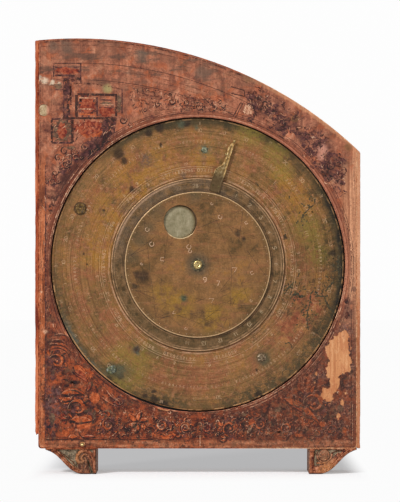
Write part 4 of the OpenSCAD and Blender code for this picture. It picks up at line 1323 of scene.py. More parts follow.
curls(((-50.8, 240.6, 3.2, 40, 1), (-76.6, 222, 3, 0, -1), (-71.4, 219.4, 2.2, 120, 1), (-90.6, 219.6, 3.4, 60, -1),
    (-84, 219, 2.4, 200, 1), (-95, 215, 3, 90, -1), (-88, 212, 3.4, 300, 1), (-60.4, 227, 2.2, 120, -1),
    (-46, 237.6, 2.2, 200, -1), (-97, 205, 2.8, 30, 1)), 1.1, 1.2, "pale", 0.3, 0.2)
for _ in range(150):
    x, z = rng.uniform(-99, -58), rng.uniform(212, 241)
    if x < -84 or z > 226:
        stroke(rng.choice(("dark", "dark", "line", "pale")), x, z, rng.uniform(1, 4.5), rng.uniform(10, 70),
            rng.uniform(-70, 70), rng.uniform(0.3, 0.8), 5)
blobs("pale", ((-106, 268.8, 3.6, 1.2), (-101, 267.4, 5, 1.3), (-95.6, 265.8, 5.6, 1), (-104, 265.6, 5, 0.6)))
# A spray of leaves, curls and berries from the frames to the middle
curls(((-17.5, 253.3, 3.2, 330, 1), (0.7, 249.7, 3.6, 340, 1), (11, 248.9, 2.4, 350, 1), (-27, 251.5, 2.4, 20, -1),
    (-8, 252.4, 2.2, 200, -1), (-36, 247.6, 2.4, 200, 1)), 1, 1.3, "pale", 0.3, 0.2)
for _ in range(330):
    t = rng.random()
    x = -46 + 66 * t
    z = 256 - 6 * t + rng.uniform(-1, 1) * (8 - 4.5 * t)
    a = rng.uniform(0, 360)
    tone = rng.choice(("dark", "dark", "line", "purple", "pale"))
    stroke(tone, x, z, rng.uniform(1, 3.6), a, rng.uniform(-150, 150),
        0.34 if tone == "pale" else rng.uniform(0.35, 0.9), 5)
for x, z, length, angle, bend in ((-44, 262, 24, 118, -30), (-40, 258, 22, 100, -20), (-30, 247, 20, 80, 20),
        (-14, 250, 16, 80, 30), (2, 246, 14, 80, 20)):
    stroke("line", x, z, length, angle, bend, 0.8, 14)
# Upper right: worn dark masses with what is left of their drawing
for ax, az, bx, bz, width, tone in ((22.6, 263.6, 31.4, 261, 0.7, "dark"), (22.8, 259, 31.4, 257, 0.7, "dark"),
        (31.6, 261.4, 31.8, 256.6, 0.6, "dark"), (24, 243, 29, 252.6, 0.6, "dark"),
        (25.6, 242.4, 30.6, 252, 0.6, "dark"), (29, 252.6, 30.6, 252, 0.5, "dark")):
    bar(ax, az, bx, bz, width, tone)
blob(34.4, 248, 7, 7.4, "pale")
masses = ((38, 258, 5), (42, 252, 6), (38, 246, 4), (49, 248, 5), (54, 243, 5), (50, 239, 3), (58, 236, 5),
    (66, 243, 3), (70, 234, 4), (78, 231, 6), (77, 222, 6), (84, 227, 4), (86, 214, 6), (80, 212, 3), (93, 212, 6),
    (90, 203, 5), (98, 205, 4), (96, 197, 4), (99, 213, 3))
for x, z, r in masses:
    for _ in range(5):
        blob(x + rng.gauss(0, r * 0.5), z + rng.gauss(0, r * 0.5), r * rng.uniform(0.6, 1.4), r * rng.uniform(0.4, 1),
            rng.choice(("purple", "purple", "line")))
    for _ in range(int(r * 3)):
        tone = rng.choice(("dark", "purple", "purple", "line", "line", "pale"))
        stroke(tone, x + rng.gauss(0, r * 0.6), z + rng.gauss(0, r * 0.6), rng.uniform(1, 4.5), rng.uniform(90, 180),
            rng.uniform(-150, 150), 0.4 if tone == "pale" else rng.uniform(0.5, 1.4), 6)
curls(((46, 252, 3, 90, 1), (58, 238, 3.2, 30, -1), (75, 229.6, 2.6, 200, 1), (90, 210, 3.6, 60, 1),
    (97.6, 203.6, 2.6, 0, -1)), 1.1, 1.2, "line", 0.7, 0)
for _ in range(130):
    t = rng.random()
    x = 34 + 66 * t
    z = math.sqrt(max(0, (112 + rng.uniform(-5, 16) * (1 - 0.5 * t)) ** 2 - x * x)) + DIAL_Z
    tone = rng.choice(("dark", "line", "purple", "purple", "pale"))
    stroke(tone, x, z, rng.uniform(0.8, 3.4), rng.uniform(0, 360), rng.uniform(-120, 120),
        0.35 if tone == "pale" else rng.uniform(0.4, 1), 5)
# Rules along the curved top, the straight edges and the recess
for inset, start, end, width, tone in ((1.6, -5.2, 24, 1, "line"), (4.6, -5.2, 30, 0.4, "line"),
        (16.8, -3.6, 27, 0.4, "dark"), (21, 8, 24, 0.35, "line"), (28.2, 1.3, 25, 0.4, "dark"),
        (29.4, 1.3, 18, 0.25, "line"), (24, 12, 27, 0.3, "line")):
    paint[tone].append((arc(ARC_X, ARC_Z, ARC_R - inset, start, end, 2), width))
bar(*on_dial(ARC_R - 28, 25.4, ARC_X, ARC_Z), *on_dial(ARC_R - 15, 25.4, ARC_X, ARC_Z), 0.3, "line")
for x, z_from, z_to, width, tone in ((-103.4, 22, 210, 0.9, "purple"), (-107, 22, 288, 0.4, "line"),
        (-102.4, 40, 130, 0.3, "line"), (-99.4, 243, 284, 0.25, "line"), (104.4, 22, 112, 0.5, "dark"),
        (106.2, 20, 215, 0.4, "line"), (105.2, 24, 50, 0.3, "pale"), (107.6, 20, 120, 0.5, "purple")):
    bar(x, z_from, x, z_to, width, tone)
for x_from, x_to, z, width, tone in ((-104, 104, 20.6, 0.4, "line"), (-104, -30, 23.6, 0.6, "dark"),
        (-34, 104, 23.4, 0.4, "line"), (-104, 60, 24.9, 0.4, "line")):
    bar(x_from, z, x_to, z, width, tone)
# The raised edge of the recess drawn in paint: pale lines, rubbed and painted as highlights where the light falls on
# it, and dark lines of painted shade on its other sides
for radius, start, end, thick, tone in ((101.7, 98, 178, 0.5, "pale"), (102.7, 112, 168, 0.4, "dark"),
        (103.4, 116, 160, 0.42, "pale"), (101.7, -82, 24, 0.5, "pale"), (103.3, -64, 40, 0.45, "dark"),
        (104.2, -58, -8, 0.4, "pale"), (101.8, 182, 262, 0.8, "dark")):
    line, widths, share = arc(*DIAL, radius, start, end, 1), [], 0.8
    for _ in line:
        share = min(1.3, max(0, share + rng.uniform(-0.3, 0.3)))
        widths.append(thick * share)
    paint[tone].append((line, widths))
for radius, width, tone in ((104.8, 0.5, "line"), (106, 0.3, "dark")):
    paint[tone].append((arc(*DIAL, radius, 0, 360, 3), width))
for tone, (*inks, hold, height) in PAINTS.items():
    ribbons("print_" + tone, keep_on_board(paint[tone]), FACING_Y, height, paper("paint_" + tone, inks, hold),
        "board")

# Plug, pin and feet

f = Finish("plug_end_grain", specular=0.35, seed=60)
across = f.far(PLUG[0] - 1.2, PLUG[1] + 0.8, 0.8)
year = f.level(f.math("SINE", f.times(across, 6.5)), -0.4, 0.9)
blotch = f.noise(2.2, 6, 0.66)
f.colour = f.ramp(blotch, (0.38, (150, 118, 88)), (0.5, (182, 158, 122)), (0.62, (202, 178, 146)))
f.lay(year, (146, 118, 88), 0.35)
f.lay(f.level(f.plus(f.x, f.times(blotch, 2)), -102.6, -100.6), (196, 122, 100), 0.7)
f.lay(f.patches(0.6, 0.7, 0.7, 4, 0.7), (84, 58, 44), 0.6)
dowel_end = f.done(f.level(blotch, 0.3, 0.7, 0.55, 0.8), f.plus(f.times(year, 0.4), f.times(blotch, 0.8)), 0.3, 0.7)
refinish("edge_plug", dowel_end)
refinish("foot_dowels", dowel_end)


def sawn_end(r, y, a):
    return r * (1 - 0.02 * abs(sine(a * 1.5))), y + (0.05 if r < 3 and 200 < a < 260 else 0)


lathe("plug",
    [(0, -16.32), (1.4, -16.35), (2.7, -16.33), (3.5, -16.26), (3.9, -16.1), (4, -15.8), (4, -8.35), (0, -8.35)],
    PLUG, dowel_end, "board", 72, ["edge_plug"], wobble=sawn_end)

BRIGHT = metal("bright_brass", ((150, 122, 70), (196, 170, 112), (228, 208, 156)), 0.9, 0.75, (0.24, 0.4),
    (96, 80, 50), 70)
PIN = metal("pin_brass", ((150, 120, 66), (206, 180, 120), (236, 220, 170)), 0.8, 0.75, (0.22, 0.36), (90, 70, 44),
    74)
lathe("apex_stud", [(0, -18.95), (0.5, -18.88), (0.9, -18.62), (1.18, -18.2), (1.3, -17.65), (1.2, -17.1),
    (0.95, -16.6), (0.9, -16.3), (0.9, -11.2), (0.5, -10.6), (0, -10.55)], APEX, PIN, "board", 40,
    ["apex_pin"], wobble=lambda r, y, a: (r * (1 + 0.03 * sine(3 * a)), y), smooth=True)


# The cyma of a foot's inner side: how far it runs, where it starts and how much it swings
CYMA_RUN, CYMA_RISE, CYMA_SWING = 24, 16.6, 1.4


def cyma(t):
    return (CYMA_RUN * t, CYMA_RISE * (1 - t) + CYMA_SWING * math.sin(math.tau * t))


CURVE = [cyma(i / 80) for i in range(81)]


def smooth_step(value, low, high):
    t = min(1, max(0, (value - low) / (high - low)))
    return t * t * (3 - 2 * t)


def to_line(x, z, points):
    """Distance from a place to the nearest stretch of a polyline."""
    best = 99
    for (ax, az), (bx, bz) in zip(points, points[1:]):
        run = (bx - ax) ** 2 + (bz - az) ** 2
        t = min(1, max(0, ((x - ax) * (bx - ax) + (z - az) * (bz - az)) / run))
        best = min(best, math.hypot(x - ax - t * (bx - ax), z - az - t * (bz - az)))
    return best


# Carved ridges as (centre line, half width, depth of the crown), from the outer end of each foot
LEFT_RIDGES = ((((33, 0.6), (33.3, 6), (32.8, 10.4), (31.4, 13.4), (29, 15.4), (26.2, 16), (23.6, 15), (21.8, 12.8),
    (21.4, 10.2), (22.6, 8), (24.6, 7.6)), 1.15, 0.05), (((30.6, 1), (31, 6), (30.6, 10), (29, 12.8), (26.6, 13.4),
    (24.6, 12), (24.6, 9.8), (26.2, 8.9)), 0.9, 0.3), (((26.9, 11), (27.8, 9), (27.4, 5.4), (26.2, 1)), 0.8, 0.35),
    (((24.8, 6), (25, 3.4), (24.4, 1)), 0.7, 0.45), (((33.6, 12.6), (33.4, 16.6)), 1.3, 0.5), (((9, 15.8), (14, 12.2),
    (18, 8.8), (21.6, 4.6)), 0.4, 0.8))
RIGHT_RIDGES = ((((30.6, 1.4), (30.9, 9), (30.4, 16.4)), 1.7, 0.1),
    (((29.6, 2.6), (25.4, 2.8), (21.4, 4.4), (18.2, 6.8)), 2.9, 0.15),
    (((26.8, 7.6), (24.2, 7.3), (20.4, 8.2), (17.6, 10.6), (16.9, 13.4)), 0.8, 0.25),
    (((12.4, 13.2), (15.2, 10.4), (18.4, 7.6)), 1.5, 0.35), (((9.4, 16.2), (15, 15.4), (17.4, 14.2)), 0.5, 0.8))


def carving(x, z, left, wide):
    """Depth behind the foot's front at a place, from the outer end of the foot."""
    ground = 1.55 + 0.12 * waver(x * 0.5, z * 0.5, 3)

    def sinking(crown, value, low, high):
        """A form's crown, falling to the ground as a value goes from low to high."""
        return crown + (ground - crown) * smooth_step(value, low, high)

    edge = min(math.hypot(x - a, z - b) for a, b in CURVE)
    if x > CYMA_RUN:
        edge = min(edge, z)
    # A strap with two beads along the cyma, and a flat band under the board
    strap = 3 if left else 3.6
    rise = 0.42 * (1 - math.sin(math.pi * min(edge, strap) / strap)) + 0.6 * math.exp(
        -((edge - strap * 0.64) / 0.28) ** 2)
    rise += 0.3 * math.exp(-((edge - strap * 0.3) / 0.22) ** 2)
    raised = [sinking(rise, edge, strap - 0.3, strap + 0.4), sinking(0.3, BOARD_LOW - z, 0.5, 1.1)]
    for line, half, crown in (LEFT_RIDGES if left else RIGHT_RIDGES):
        share = to_line(x, z, line) / half
        if share < 1.4:
            raised.append(sinking(crown + 0.75 * share * share, share, 0.95, 1.4))
    if left:
        raised.append(sinking(0.8, math.hypot((x - 27.6) / 5.8, (z - 7) / 8), 0.9, 1.1))
    else:
        rho, turn = math.hypot(x - 22.1, z - 13), math.atan2(z - 13, x - 22.1)
        boss = 0.05 + 0.35 * (rho / 3.7) ** 2 + 0.22 * (0.5 + 0.5 * math.sin(rho * 4.2 - turn))
        raised.append(sinking(boss, rho, 3.6, 4.1))
        raised.append(0.35 + 1.2 * smooth_step(turn, -0.3, 1.4) + abs(rho - 4.9) * 0.9)
    depth = min(raised)
    if left:
        gap = to_line(x, z, ((28.9, 9), (31.6, 1.1)))
        depth = max(depth, 2.6 * (1 - gap / (0.7 + 0.13 * max(0, 9 - z))))
    depth += 0.22 * waver(x * 0.8, z * 0.8, 8 if left else 2) + 0.16 * waver(x * 1.9, z * 1.9, 5)
    round_off = min(edge, wide - x)
    if round_off < 0.7:
        depth += 0.7 - math.sqrt(max(0, 0.49 - (0.7 - round_off) ** 2))
    return max(0.02, depth)


def carved_foot(name, x_outer, way, left, wide, material, node):
    columns, rows = 124, 64
    verts, faces = [], []
    for layer in (0, 1):
        for i in range(columns + 1):
            x = wide * i / columns
            low = cyma(x / CYMA_RUN)[1] if x < CYMA_RUN else 0
            for j in range(rows + 1):
                z = low + (BOARD_LOW - low) * j / rows
                y = WOOD_Y + carving(x, z, left, wide) if layer == 0 else WOOD_Y + FOOT_DEPTH
                verts.append((x_outer + way * x, y, z))
    n, m = rows + 1, (columns + 1) * (rows + 1)
    for i in range(columns):
        for j in range(rows):
            a = i * n + j
            faces += [(a, a + n, a + n + 1, a + 1), (m + a, m + a + 1, m + a + n + 1, m + a + n)]
        for j, flip in ((0, False), (rows, True)):
            a = i * n + j
            faces.append((a, m + a, m + a + n, a + n) if not flip else (a, a + n, m + a + n, m + a))
    for i, flip in ((0, True), (columns, False)):
        for j in range(rows):
            a = i * n + j
            faces.append((a, m + a, m + a + 1, a + 1) if not flip else (a, a + 1, m + a + 1, m + a))
    piece = make_object(name, verts, faces, material, "board", replaces=[node])
    mend(piece.data)
    for p in piece.data.polygons:
        p.use_smooth = abs(p.normal.y) > 0.25 and p.center.y < 0


carved_foot("carved_left_foot", -103.6, 1, True, 34.5, foot_wood("left_foot_wood", -77.4, 7, -82.4, 12, 0.98),
    "left_foot")
carved_foot("carved_right_foot", 108.2, -1, False, 32.4, foot_wood("right_foot_wood", 86.4, 13, 87.6, 4.6, 1.1),
    "right_foot")

# The dial

GROOVES = (61.4, 62.4, 67.4, 70.6, 71.6, 80.8, 86.2, 89.6, 93.6, 98.2)
PLATE_BRASS = brass("plate_brass", plate_colour, 0.4, (0.4, 0.6))
PLATE_FILL = brass("plate_fill", plate_colour, 0.3, (0.45, 0.62), (200, 164, 130), 0.52)
PLATE_CUT = brass("plate_cut", plate_colour, 0.3, (0.45, 0.62), (74, 56, 42), 0.42)

profile = [(0, PLATE_Y)]
for g in GROOVES:
    profile += [(g - 0.16, PLATE_Y), (g, PLATE_Y + 0.12), (g + 0.16, PLATE_Y)]
profile += [(PLATE_R - 0.5, PLATE_Y), (PLATE_R - 0.12, PLATE_Y + 0.18), (PLATE_R, PLATE_Y + 0.45),
    (PLATE_R, RECESS_Y), (0, RECESS_Y)]


def hand_cut(r, y, a):
    if r > 99:
        r -= 0.12 + 0.14 * waver(sine(a) * 9, cosine(a) * 9, 0)
        r -= 0.7 * math.exp(-((a - 197) / 16) ** 2)
    return r, y


lathe("calendar_dial", profile, DIAL, PLATE_BRASS, "board", 540, ["calendar_plate"], wobble=hand_cut)

# Days in the year and between two new moons
YEAR, LUNATION = 365, 29.5
rng = random.Random(31)
marks, cuts = [], []
# Strokes struck round the rim: the hours, then dense rings of small figures
for clock, text in ((-120, "II"), (-105, "III"), (-90, "IIII"), (-50, "I"), (-20, "II"), (1, "I"), (31, "III"),
        (61, "II"), (91, "IIII"), (121, "II"), (150, "I"), (165, "II"), (-165, "III"), (-150, "II")):
    word(text, 96.3, clock, 2.2, 0.3, marks)
for k in range(36):
    word(str(10 * (k % 3 + 1)), 91.4, 10 * k + 1, 2.2, 0.26, marks)
for k in range(360):
    tick(88.6 if k % 5 else 87.9, 89.1, k, 0.16, cuts)
for k in range(216):
    word(str(k % 9 + 1), 83.7, k * 360 / 216, 1.5, 0.24, marks)
for k in range(YEAR):
    tick(81.6, 82.3, k * 360 / YEAR, 0.16, cuts)
for k in range(5):
    marks.append((arc(*DIAL, 73.4 + 0.75 * k, 43, 48 + (k % 2), 1.5), 0.22))
for k in range(12):
    for step in range(3):
        tick(75.6 + 0.5 * step, 78.2, 30 * k + 13 + 1.1 * step, 0.22, marks)
for k in range(36):
    word(str(k % 12 + 1), 68.8, 10 * k + 3.4, 1.9, 0.28, marks)
for k in range(180):
    if k % 13 < 10:
        word(str(k * 7 % 10), 64.2, 2 * k + 0.6, 1.9, 0.3, marks)
for k in range(240):
    tick(66, 66.5, 1.5 * k, 0.16, cuts)
for radius, width in ((66.9, 0.22), (65.5, 0.16), (60.9, 0.18)):
    ring(radius, width, marks)
ribbons("plate_numerals", marks, PLATE_Y, 0.03, PLATE_FILL, "board")
ribbons("plate_ticks", cuts, PLATE_Y, 0.02, PLATE_CUT, "board")

# Cracked and crusted tarnish at the right, along lines of (clock, radius)
NEAR_RADIAN = 0.0175
crusts = []
for width, line in ((1, ((60.5, 91.5), (62.6, 89.8), (63, 86), (63.8, 82.5), (65, 78.6), (68, 76.2))),
        (1.2, ((109.4, 98.2), (108, 94), (106.4, 91.6), (104.2, 88.6), (104.6, 85), (102.6, 81.4))),
        (1, ((102.4, 80.6), (104.6, 79.4), (108, 80.4), (112.4, 81), (116.4, 83), (121, 87.6))),
        (2.2, ((106, 76), (107.6, 73), (106.2, 70.4), (108.4, 67.6))),
        (1.4, ((100.6, 66), (104.4, 63.8), (107, 62.4))), (1.8, ((86, 96), (91, 95.6), (95.4, 96.6))),
        (1.2, ((97, 93.2), (99.6, 90.6), (102, 88.2))), (0.9, ((131.4, 86), (130.4, 82), (132.4, 79.4))),
        (0.8, ((53.2, 78), (54.6, 76.4))), (1, ((35, 68.4), (38, 67.6))),
        (1, ((70.6, 63.4), (73.6, 61.6), (73, 60.2))), (0.9, ((94.6, 69.4), (97.6, 68.2))),
        (0.8, ((112.6, 78.6), (114.4, 76.6)))):
    path = []
    for (a, ra), (b, rb) in zip(line, line[1:]):
        n = max(2, int(math.hypot((b - a) * ra * NEAR_RADIAN, rb - ra) / 0.5))
        path += [on_dial(ra + (rb - ra) * i / n + rng.uniform(-0.25, 0.25),
            a + (b - a) * i / n + rng.uniform(-0.2, 0.2)) for i in range(n)]
    crusts.append((path, [width * rng.uniform(0.3, 1.2) for _ in path]))
for _ in range(150):
    clock, radius = rng.choice(
        ((106, 68), (107, 72), (104, 64), (90, 94), (98, 91), (104, 86), (62, 88), (113, 80), (66, 77), (116, 84)))
    x, z = on_dial(radius + rng.gauss(0, 2.6), clock + rng.gauss(0, 2.6))
    n = rng.randint(7, 10)
    crusts.append(([(x + rng.uniform(0.2, 0.8) * math.sin(math.tau * i / n),
        z + rng.uniform(0.2, 0.9) * math.cos(math.tau * i / n)) for i in range(n)], None))
CRUST = metal("plate_crust", ((38, 36, 26), (58, 54, 38), (86, 76, 52)), 1, 0.1, (0.6, 0.8), (96, 84, 58), 110)
ribbons("plate_crusts", crusts, PLATE_Y, 0.06, CRUST, "board")

NAIL_GREEN = metal("nail_green", ((62, 66, 54), (106, 110, 90), (160, 160, 134)), 1.4, 0.3, (0.45, 0.65),
    (60, 56, 42), 80)
NAIL_GREY = metal("nail_grey", ((64, 52, 38), (118, 98, 76), (184, 164, 138)), 1.6, 0.45, (0.35, 0.5), (62, 54, 40),
    84)
NAIL_BLUE = metal("nail_blue", ((48, 52, 46), (90, 94, 82), (144, 146, 128)), 1.5, 0.3, (0.45, 0.65), (98, 96, 52),
    88)
NAIL_OLIVE = metal("nail_olive", ((64, 48, 28), (106, 80, 44), (158, 128, 84)), 1.6, 0.35, (0.42, 0.6), (52, 46, 32),
    92)
NAIL_FOOT, NAIL_TOP = PLATE_Y + 0.05, -15.54


def nail(name, clock, radius, size, profile, shape, material, replaces=()):
    def above_foot(r, y, a):
        wide, front = shape(r, y, a)
        return wide, front if y < NAIL_FOOT - 0.01 else y

    lathe(name, [(r * size, y) for r, y in profile] + [(0, NAIL_FOOT)], on_dial(radius, clock), material, "board", 48,
        replaces, wobble=above_foot, smooth=True)


def lump(seed, strength, tall):
    def shape(r, y, a):
        p = Vector((sine(a) * r * 0.6 + seed, cosine(a) * r * 0.6, seed * 2))
        return r * (1 + strength * noise.noise(p)), min(NAIL_FOOT, y + tall * noise.noise(p * 1.7))
    return shape


DOME = [(0, -15.52), (0.3, -15.5), (0.6, -15.4), (0.85, -15.2), (0.98, -14.98), (1, NAIL_FOOT)]
nail("nail_a", 3.4, 78.2, 2.3, DOME, lump(1, 0.16, 0.1), NAIL_GREEN, ["plate_nails"])


def rhombic(r, y, a):
    return r * (0.86 + 0.14 * abs(cosine(2 * (a - 25)))), max(NAIL_TOP, y + 0.12 * sine(a - 60) * r / 3.2)


nail("nail_b", 145.5, 76.8, 3.2, [(0, -15.42), (0.34, -15.5), (0.62, -15.34), (0.9, -15.2), (1, NAIL_FOOT)], rhombic,
    NAIL_GREY)


def two_lumps(r, y, a):
    along = abs(cosine(a - 70))
    p = Vector((sine(a) * r * 0.7, cosine(a) * r * 0.7, 4))
    return (r * (0.74 + 0.26 * along) * (1 + 0.15 * noise.noise(p)),
        min(NAIL_FOOT, y + 0.22 * (1 - along) + 0.12 * noise.noise(p * 2)))


nail("nail_c", 219.3, 92.4, 3.6,
    [(0, -15.3), (0.25, -15.36), (0.5, -15.42), (0.75, -15.3), (0.92, -15.1), (1, NAIL_FOOT)], two_lumps, NAIL_BLUE)
nail("nail_d", 295.5, 88.4, 3.8,
    [(0, -15.06), (0.3, -15.04), (0.52, -15.1), (0.68, -15.34), (0.82, -15.4), (0.95, -15.2), (1, NAIL_FOOT)],
    lump(6, 0.07, 0.05), NAIL_OLIVE)

# The age disc with its numbered ring, and the silvered roundel let into it
AGE_BRASS = brass("age_brass", age_colour, 0.4, (0.38, 0.56), seed=100)
AGE_FILL = brass("age_fill", age_colour, 0.3, (0.45, 0.6), (198, 172, 138), 0.44, seed=100,
    lost=lambda f: f.level(f.x, -26, 16, 0.12, 1))
AGE_CUT = brass("age_cut", age_colour, 0.3, (0.45, 0.6), (60, 48, 34), 0.46, seed=100)
bore = arc(*DIAL, POST_R, 0, 352, 0.3)
pocket = arc(ROUNDEL_X, ROUNDEL_Z, ROUNDEL_R + 0.1, 0, 358, 0.5)
slab("age_plate", [arc(*DIAL, AGE_R, 0, 359.2, 0.8), bore, pocket], AGE_Y, -15.25, 0.32, AGE_BRASS, "age_disc",
    ["age_disc"])
marks, cuts = [], []
for k in range(1, 30):
    word(str(k), 53.6, INDEX_CLOCK + k * 360 / LUNATION, 2.4, 0.3, marks)
for radius, width in ((57.6, 0.16), (56.2, 0.14), (51.2, 0.2)):
    ring(radius, width, cuts)
for k in range(118):
    tick(56.4, 57.2 if k % 4 else 57.6, k * 360 / 118, 0.12, cuts)
ribbons("age_numerals", marks, AGE_Y, 0.03, AGE_FILL, "age_disc")
ribbons("age_rings", cuts, AGE_Y, 0.02, AGE_CUT, "age_disc")

f = Finish("moon_silvering", metallic=0.35, seed=120)
cloud = f.noise(3.4, 7, 0.66)
f.colour = f.ramp(cloud, (0.36, (130, 120, 92)), (0.5, (146, 135, 106)), (0.64, (158, 146, 118)))
f.lay(f.patches(0.56, 0.68, 0.8, 3, 0.6, stretch=(1, 1, 0.15)), (186, 178, 148), 0.45)
f.lay(f.level(f.far(ROUNDEL_X, ROUNDEL_Z, 0.8), 9.6, 11.4), (104, 86, 56), 0.8)
f.lay(f.patches(0.62, 0.72, 1.1, 5, 0.7), (104, 92, 66), 0.4)
silver = f.done(f.level(cloud, 0.3, 0.7, 0.36, 0.52), f.noise(0.7, 4, 0.7), 0.08, 0.6)
lathe("moon_disc", [(0, AGE_Y), (6, AGE_Y), (10.9, AGE_Y), (11.4, AGE_Y + 0.1), (11.55, AGE_Y + 0.3),
    (11.55, AGE_Y + 0.5), (0, AGE_Y + 0.5)], (ROUNDEL_X, ROUNDEL_Z), silver, "age_disc", 96,
    ["moon_roundel"])

# The lunar disc with its window, its star of lines and its signs
LUNAR_BRASS = brass("lunar_brass", lunar_colour, 0.42, (0.38, 0.58), seed=130)
LUNAR_FILL = brass("lunar_fill", lunar_colour, 0.3, (0.45, 0.62), (214, 176, 146), 0.4, seed=130)
LUNAR_CUT = brass("lunar_cut", lunar_colour, 0.3, (0.45, 0.62), (66, 50, 36), 0.52, seed=130)
window = arc(WINDOW_X, WINDOW_Z, WINDOW_R, 0, 358, 0.5)
slab("lunar_plate", [arc(*DIAL, LUNAR_R, 0, 359.1, 0.8), bore, window], LUNAR_Y, -16.9, 0.3, LUNAR_BRASS,
    "lunar_disc", ["lunar_disc"])
cuts, marks = [], []
star = [on_dial(46, 30 * k + 8) for k in range(12)]


def on_disc(x, z, _):
    """Whether a mark stays clear of the window, the post and the rim."""
    return math.hypot(x - WINDOW_X, z - WINDOW_Z) > WINDOW_R + 0.6 and 5.2 < math.hypot(x, z - DIAL_Z) < 48.6


for step, width in ((4, 0.24), (3, 0.26), (2, 0.16)):
    for k in range(0, 12, 2 if step == 2 else 1):
        if (k * 7 + step) % 12 < 9:
            straight(*star[k], *star[(k + step) % 12], width, cuts)
ring(47.2, 0.18, cuts)
ring(46.4, 0.12, cuts)
for k in range(12):
    straight(*on_dial(6, 30 * k + 8), *on_dial(46.4, 30 * k + 8), 0.1, cuts)
for ax, az, bx, bz, width in ((-25.9, 105.6, -4, 112.9, 0.34), (-14.3, 108.6, 16.6, 96.5, 0.3),
        (11.8, 118.9, 40.9, 131.1, 0.26), (24.6, 124.4, 40.9, 131.1, 0.42), (30.6, 178.4, 27.5, 155.4, 0.26),
        (23.3, 144.4, 21.5, 93.4, 0.22), (11.8, 149.3, 27.5, 150.2, 0.2), (11.8, 147.9, 27.8, 148.6, 0.24),
        (12.6, 146.4, 28.4, 147, 0.2), (-44, 138, -38.6, 124, 0.3), (16, 162, 28, 155, 0.18)):
    straight(ax, az, bx, bz, width, cuts)
ribbons("lunar_lines", cut(cuts, on_disc), LUNAR_Y, 0.02, LUNAR_CUT, "lunar_disc")
for cx, cz, size, sides, turn in ((25, 139.5, 1.9, 3, 180), (9.3, 118.6, 1.9, 3, 180), (36.9, 136.9, 1.3, 4, 20),
        (-24, 146.3, 1.6, 4, 50), (-31.2, 156.5, 1.5, 9, 0), (-34.3, 166.4, 1.4, 6, 0), (-6, 154.6, 1.5, 8, 0),
        (-5.2, 151.6, 1.1, 8, 0), (9.6, 183.9, 0.9, 5, 0), (15.2, 174.9, 1.4, 6, 0), (36.2, 118, 0.9, 5, 0),
        (-8, 99, 0.9, 5, 0), (-38, 143, 0.8, 5, 0), (33, 171, 1.2, 4, 10), (-16, 110, 1.2, 3, 0)):
    sign = [on_dial(size, turn + 360 * k / sides, cx, cz) for k in range(sides)]
    marks.append((sign + sign[:1], 0.36))
for digit, x, z in (("9", 3.8, 130.6), ("7", 12.8, 128.2)):
    for line in DIGITS[digit]:
        marks.append(([(x + 0.55 * a, z + 0.55 * b) for a, b in line], 0.4))
for k in range(60):
    tick(47.3, 48, 6 * k + 3, 0.2, marks)
ribbons("lunar_signs", cut(marks, on_disc), LUNAR_Y, 0.03, LUNAR_FILL, "lunar_disc")


# The sun index

def index_place(u, v, out):
    """A place on the index: right of its straight edge, outwards, and in front of the age disc's face."""
    along, across = sine(INDEX_CLOCK), cosine(INDEX_CLOCK)
    return (v * along + u * across, AGE_Y - out, DIAL_Z + v * across - u * along)


# The index's width at distances from the dial's centre: root, flare, waist at the knob and leaf
INDEX_WIDTHS = ((INDEX_ROOT, 7.5), (65.2, 7.5), (66.4, 7.1), (67.4, 6.1), (68.4, 5), (69.6, 4.1), (71.5, 3.4),
    (74, 3.1), (76.2, 2.8), (78.6, 3.1), (80.5, 3.3), (82.2, 3.25), (84.2, 2.6), (86, 1.6), (INDEX_TIP, 1.1))


def index_width(v):
    for (a, wa), (b, wb) in zip(INDEX_WIDTHS, INDEX_WIDTHS[1:]):
        if v <= b:
            return wa + (wb - wa) * smooth_step(v, a, b)
    return INDEX_WIDTHS[-1][1]


verts, faces = [], []
stations = 150
for i in range(stations + 1):
    v = INDEX_ROOT + (INDEX_TIP - INDEX_ROOT) * i / stations
    w = index_width(v)
    collar = math.exp(-((v - 76.8) / 0.6) ** 4)
    crest = 0.86 + 0.12 * smooth_step(v, 60, 66) - 0.22 * collar
    close = smooth_step(v, 83.4, 85.6)
    # A groove between the raised edges, which closes towards the tip
    left_band = min(0.5 + 0.85 * smooth_step(v, 67, 73), w * 0.36)
    right_band = min(1, w * 0.34)
    groove = crest - (0.1 + 0.34 * smooth_step(v, 58, 64)) * (1 - close) * (1 - 0.7 * collar)
    section = ((-w, 0.02), (-w, crest - 0.22), (-w + 0.12, crest - 0.02), (-w + left_band * 0.85, crest),
        (-w + left_band * 1.15, groove), ((-w + left_band - right_band) / 2, groove + 0.03),
        (-right_band * 1.15, groove), (-right_band * 0.85, crest), (-0.12, crest - 0.02), (0, crest - 0.22),
        (0, 0.02))
    verts += [index_place(u, v, out) for u, out in section]
k = len(section)
for i in range(stations):
    for j in range(k):
        m = (j + 1) % k
        faces.append((i * k + j, i * k + m, (i + 1) * k + m, (i + 1) * k + j))
faces.append(tuple(range(k - 1, -1, -1)))
faces.append(tuple(stations * k + j for j in range(k)))

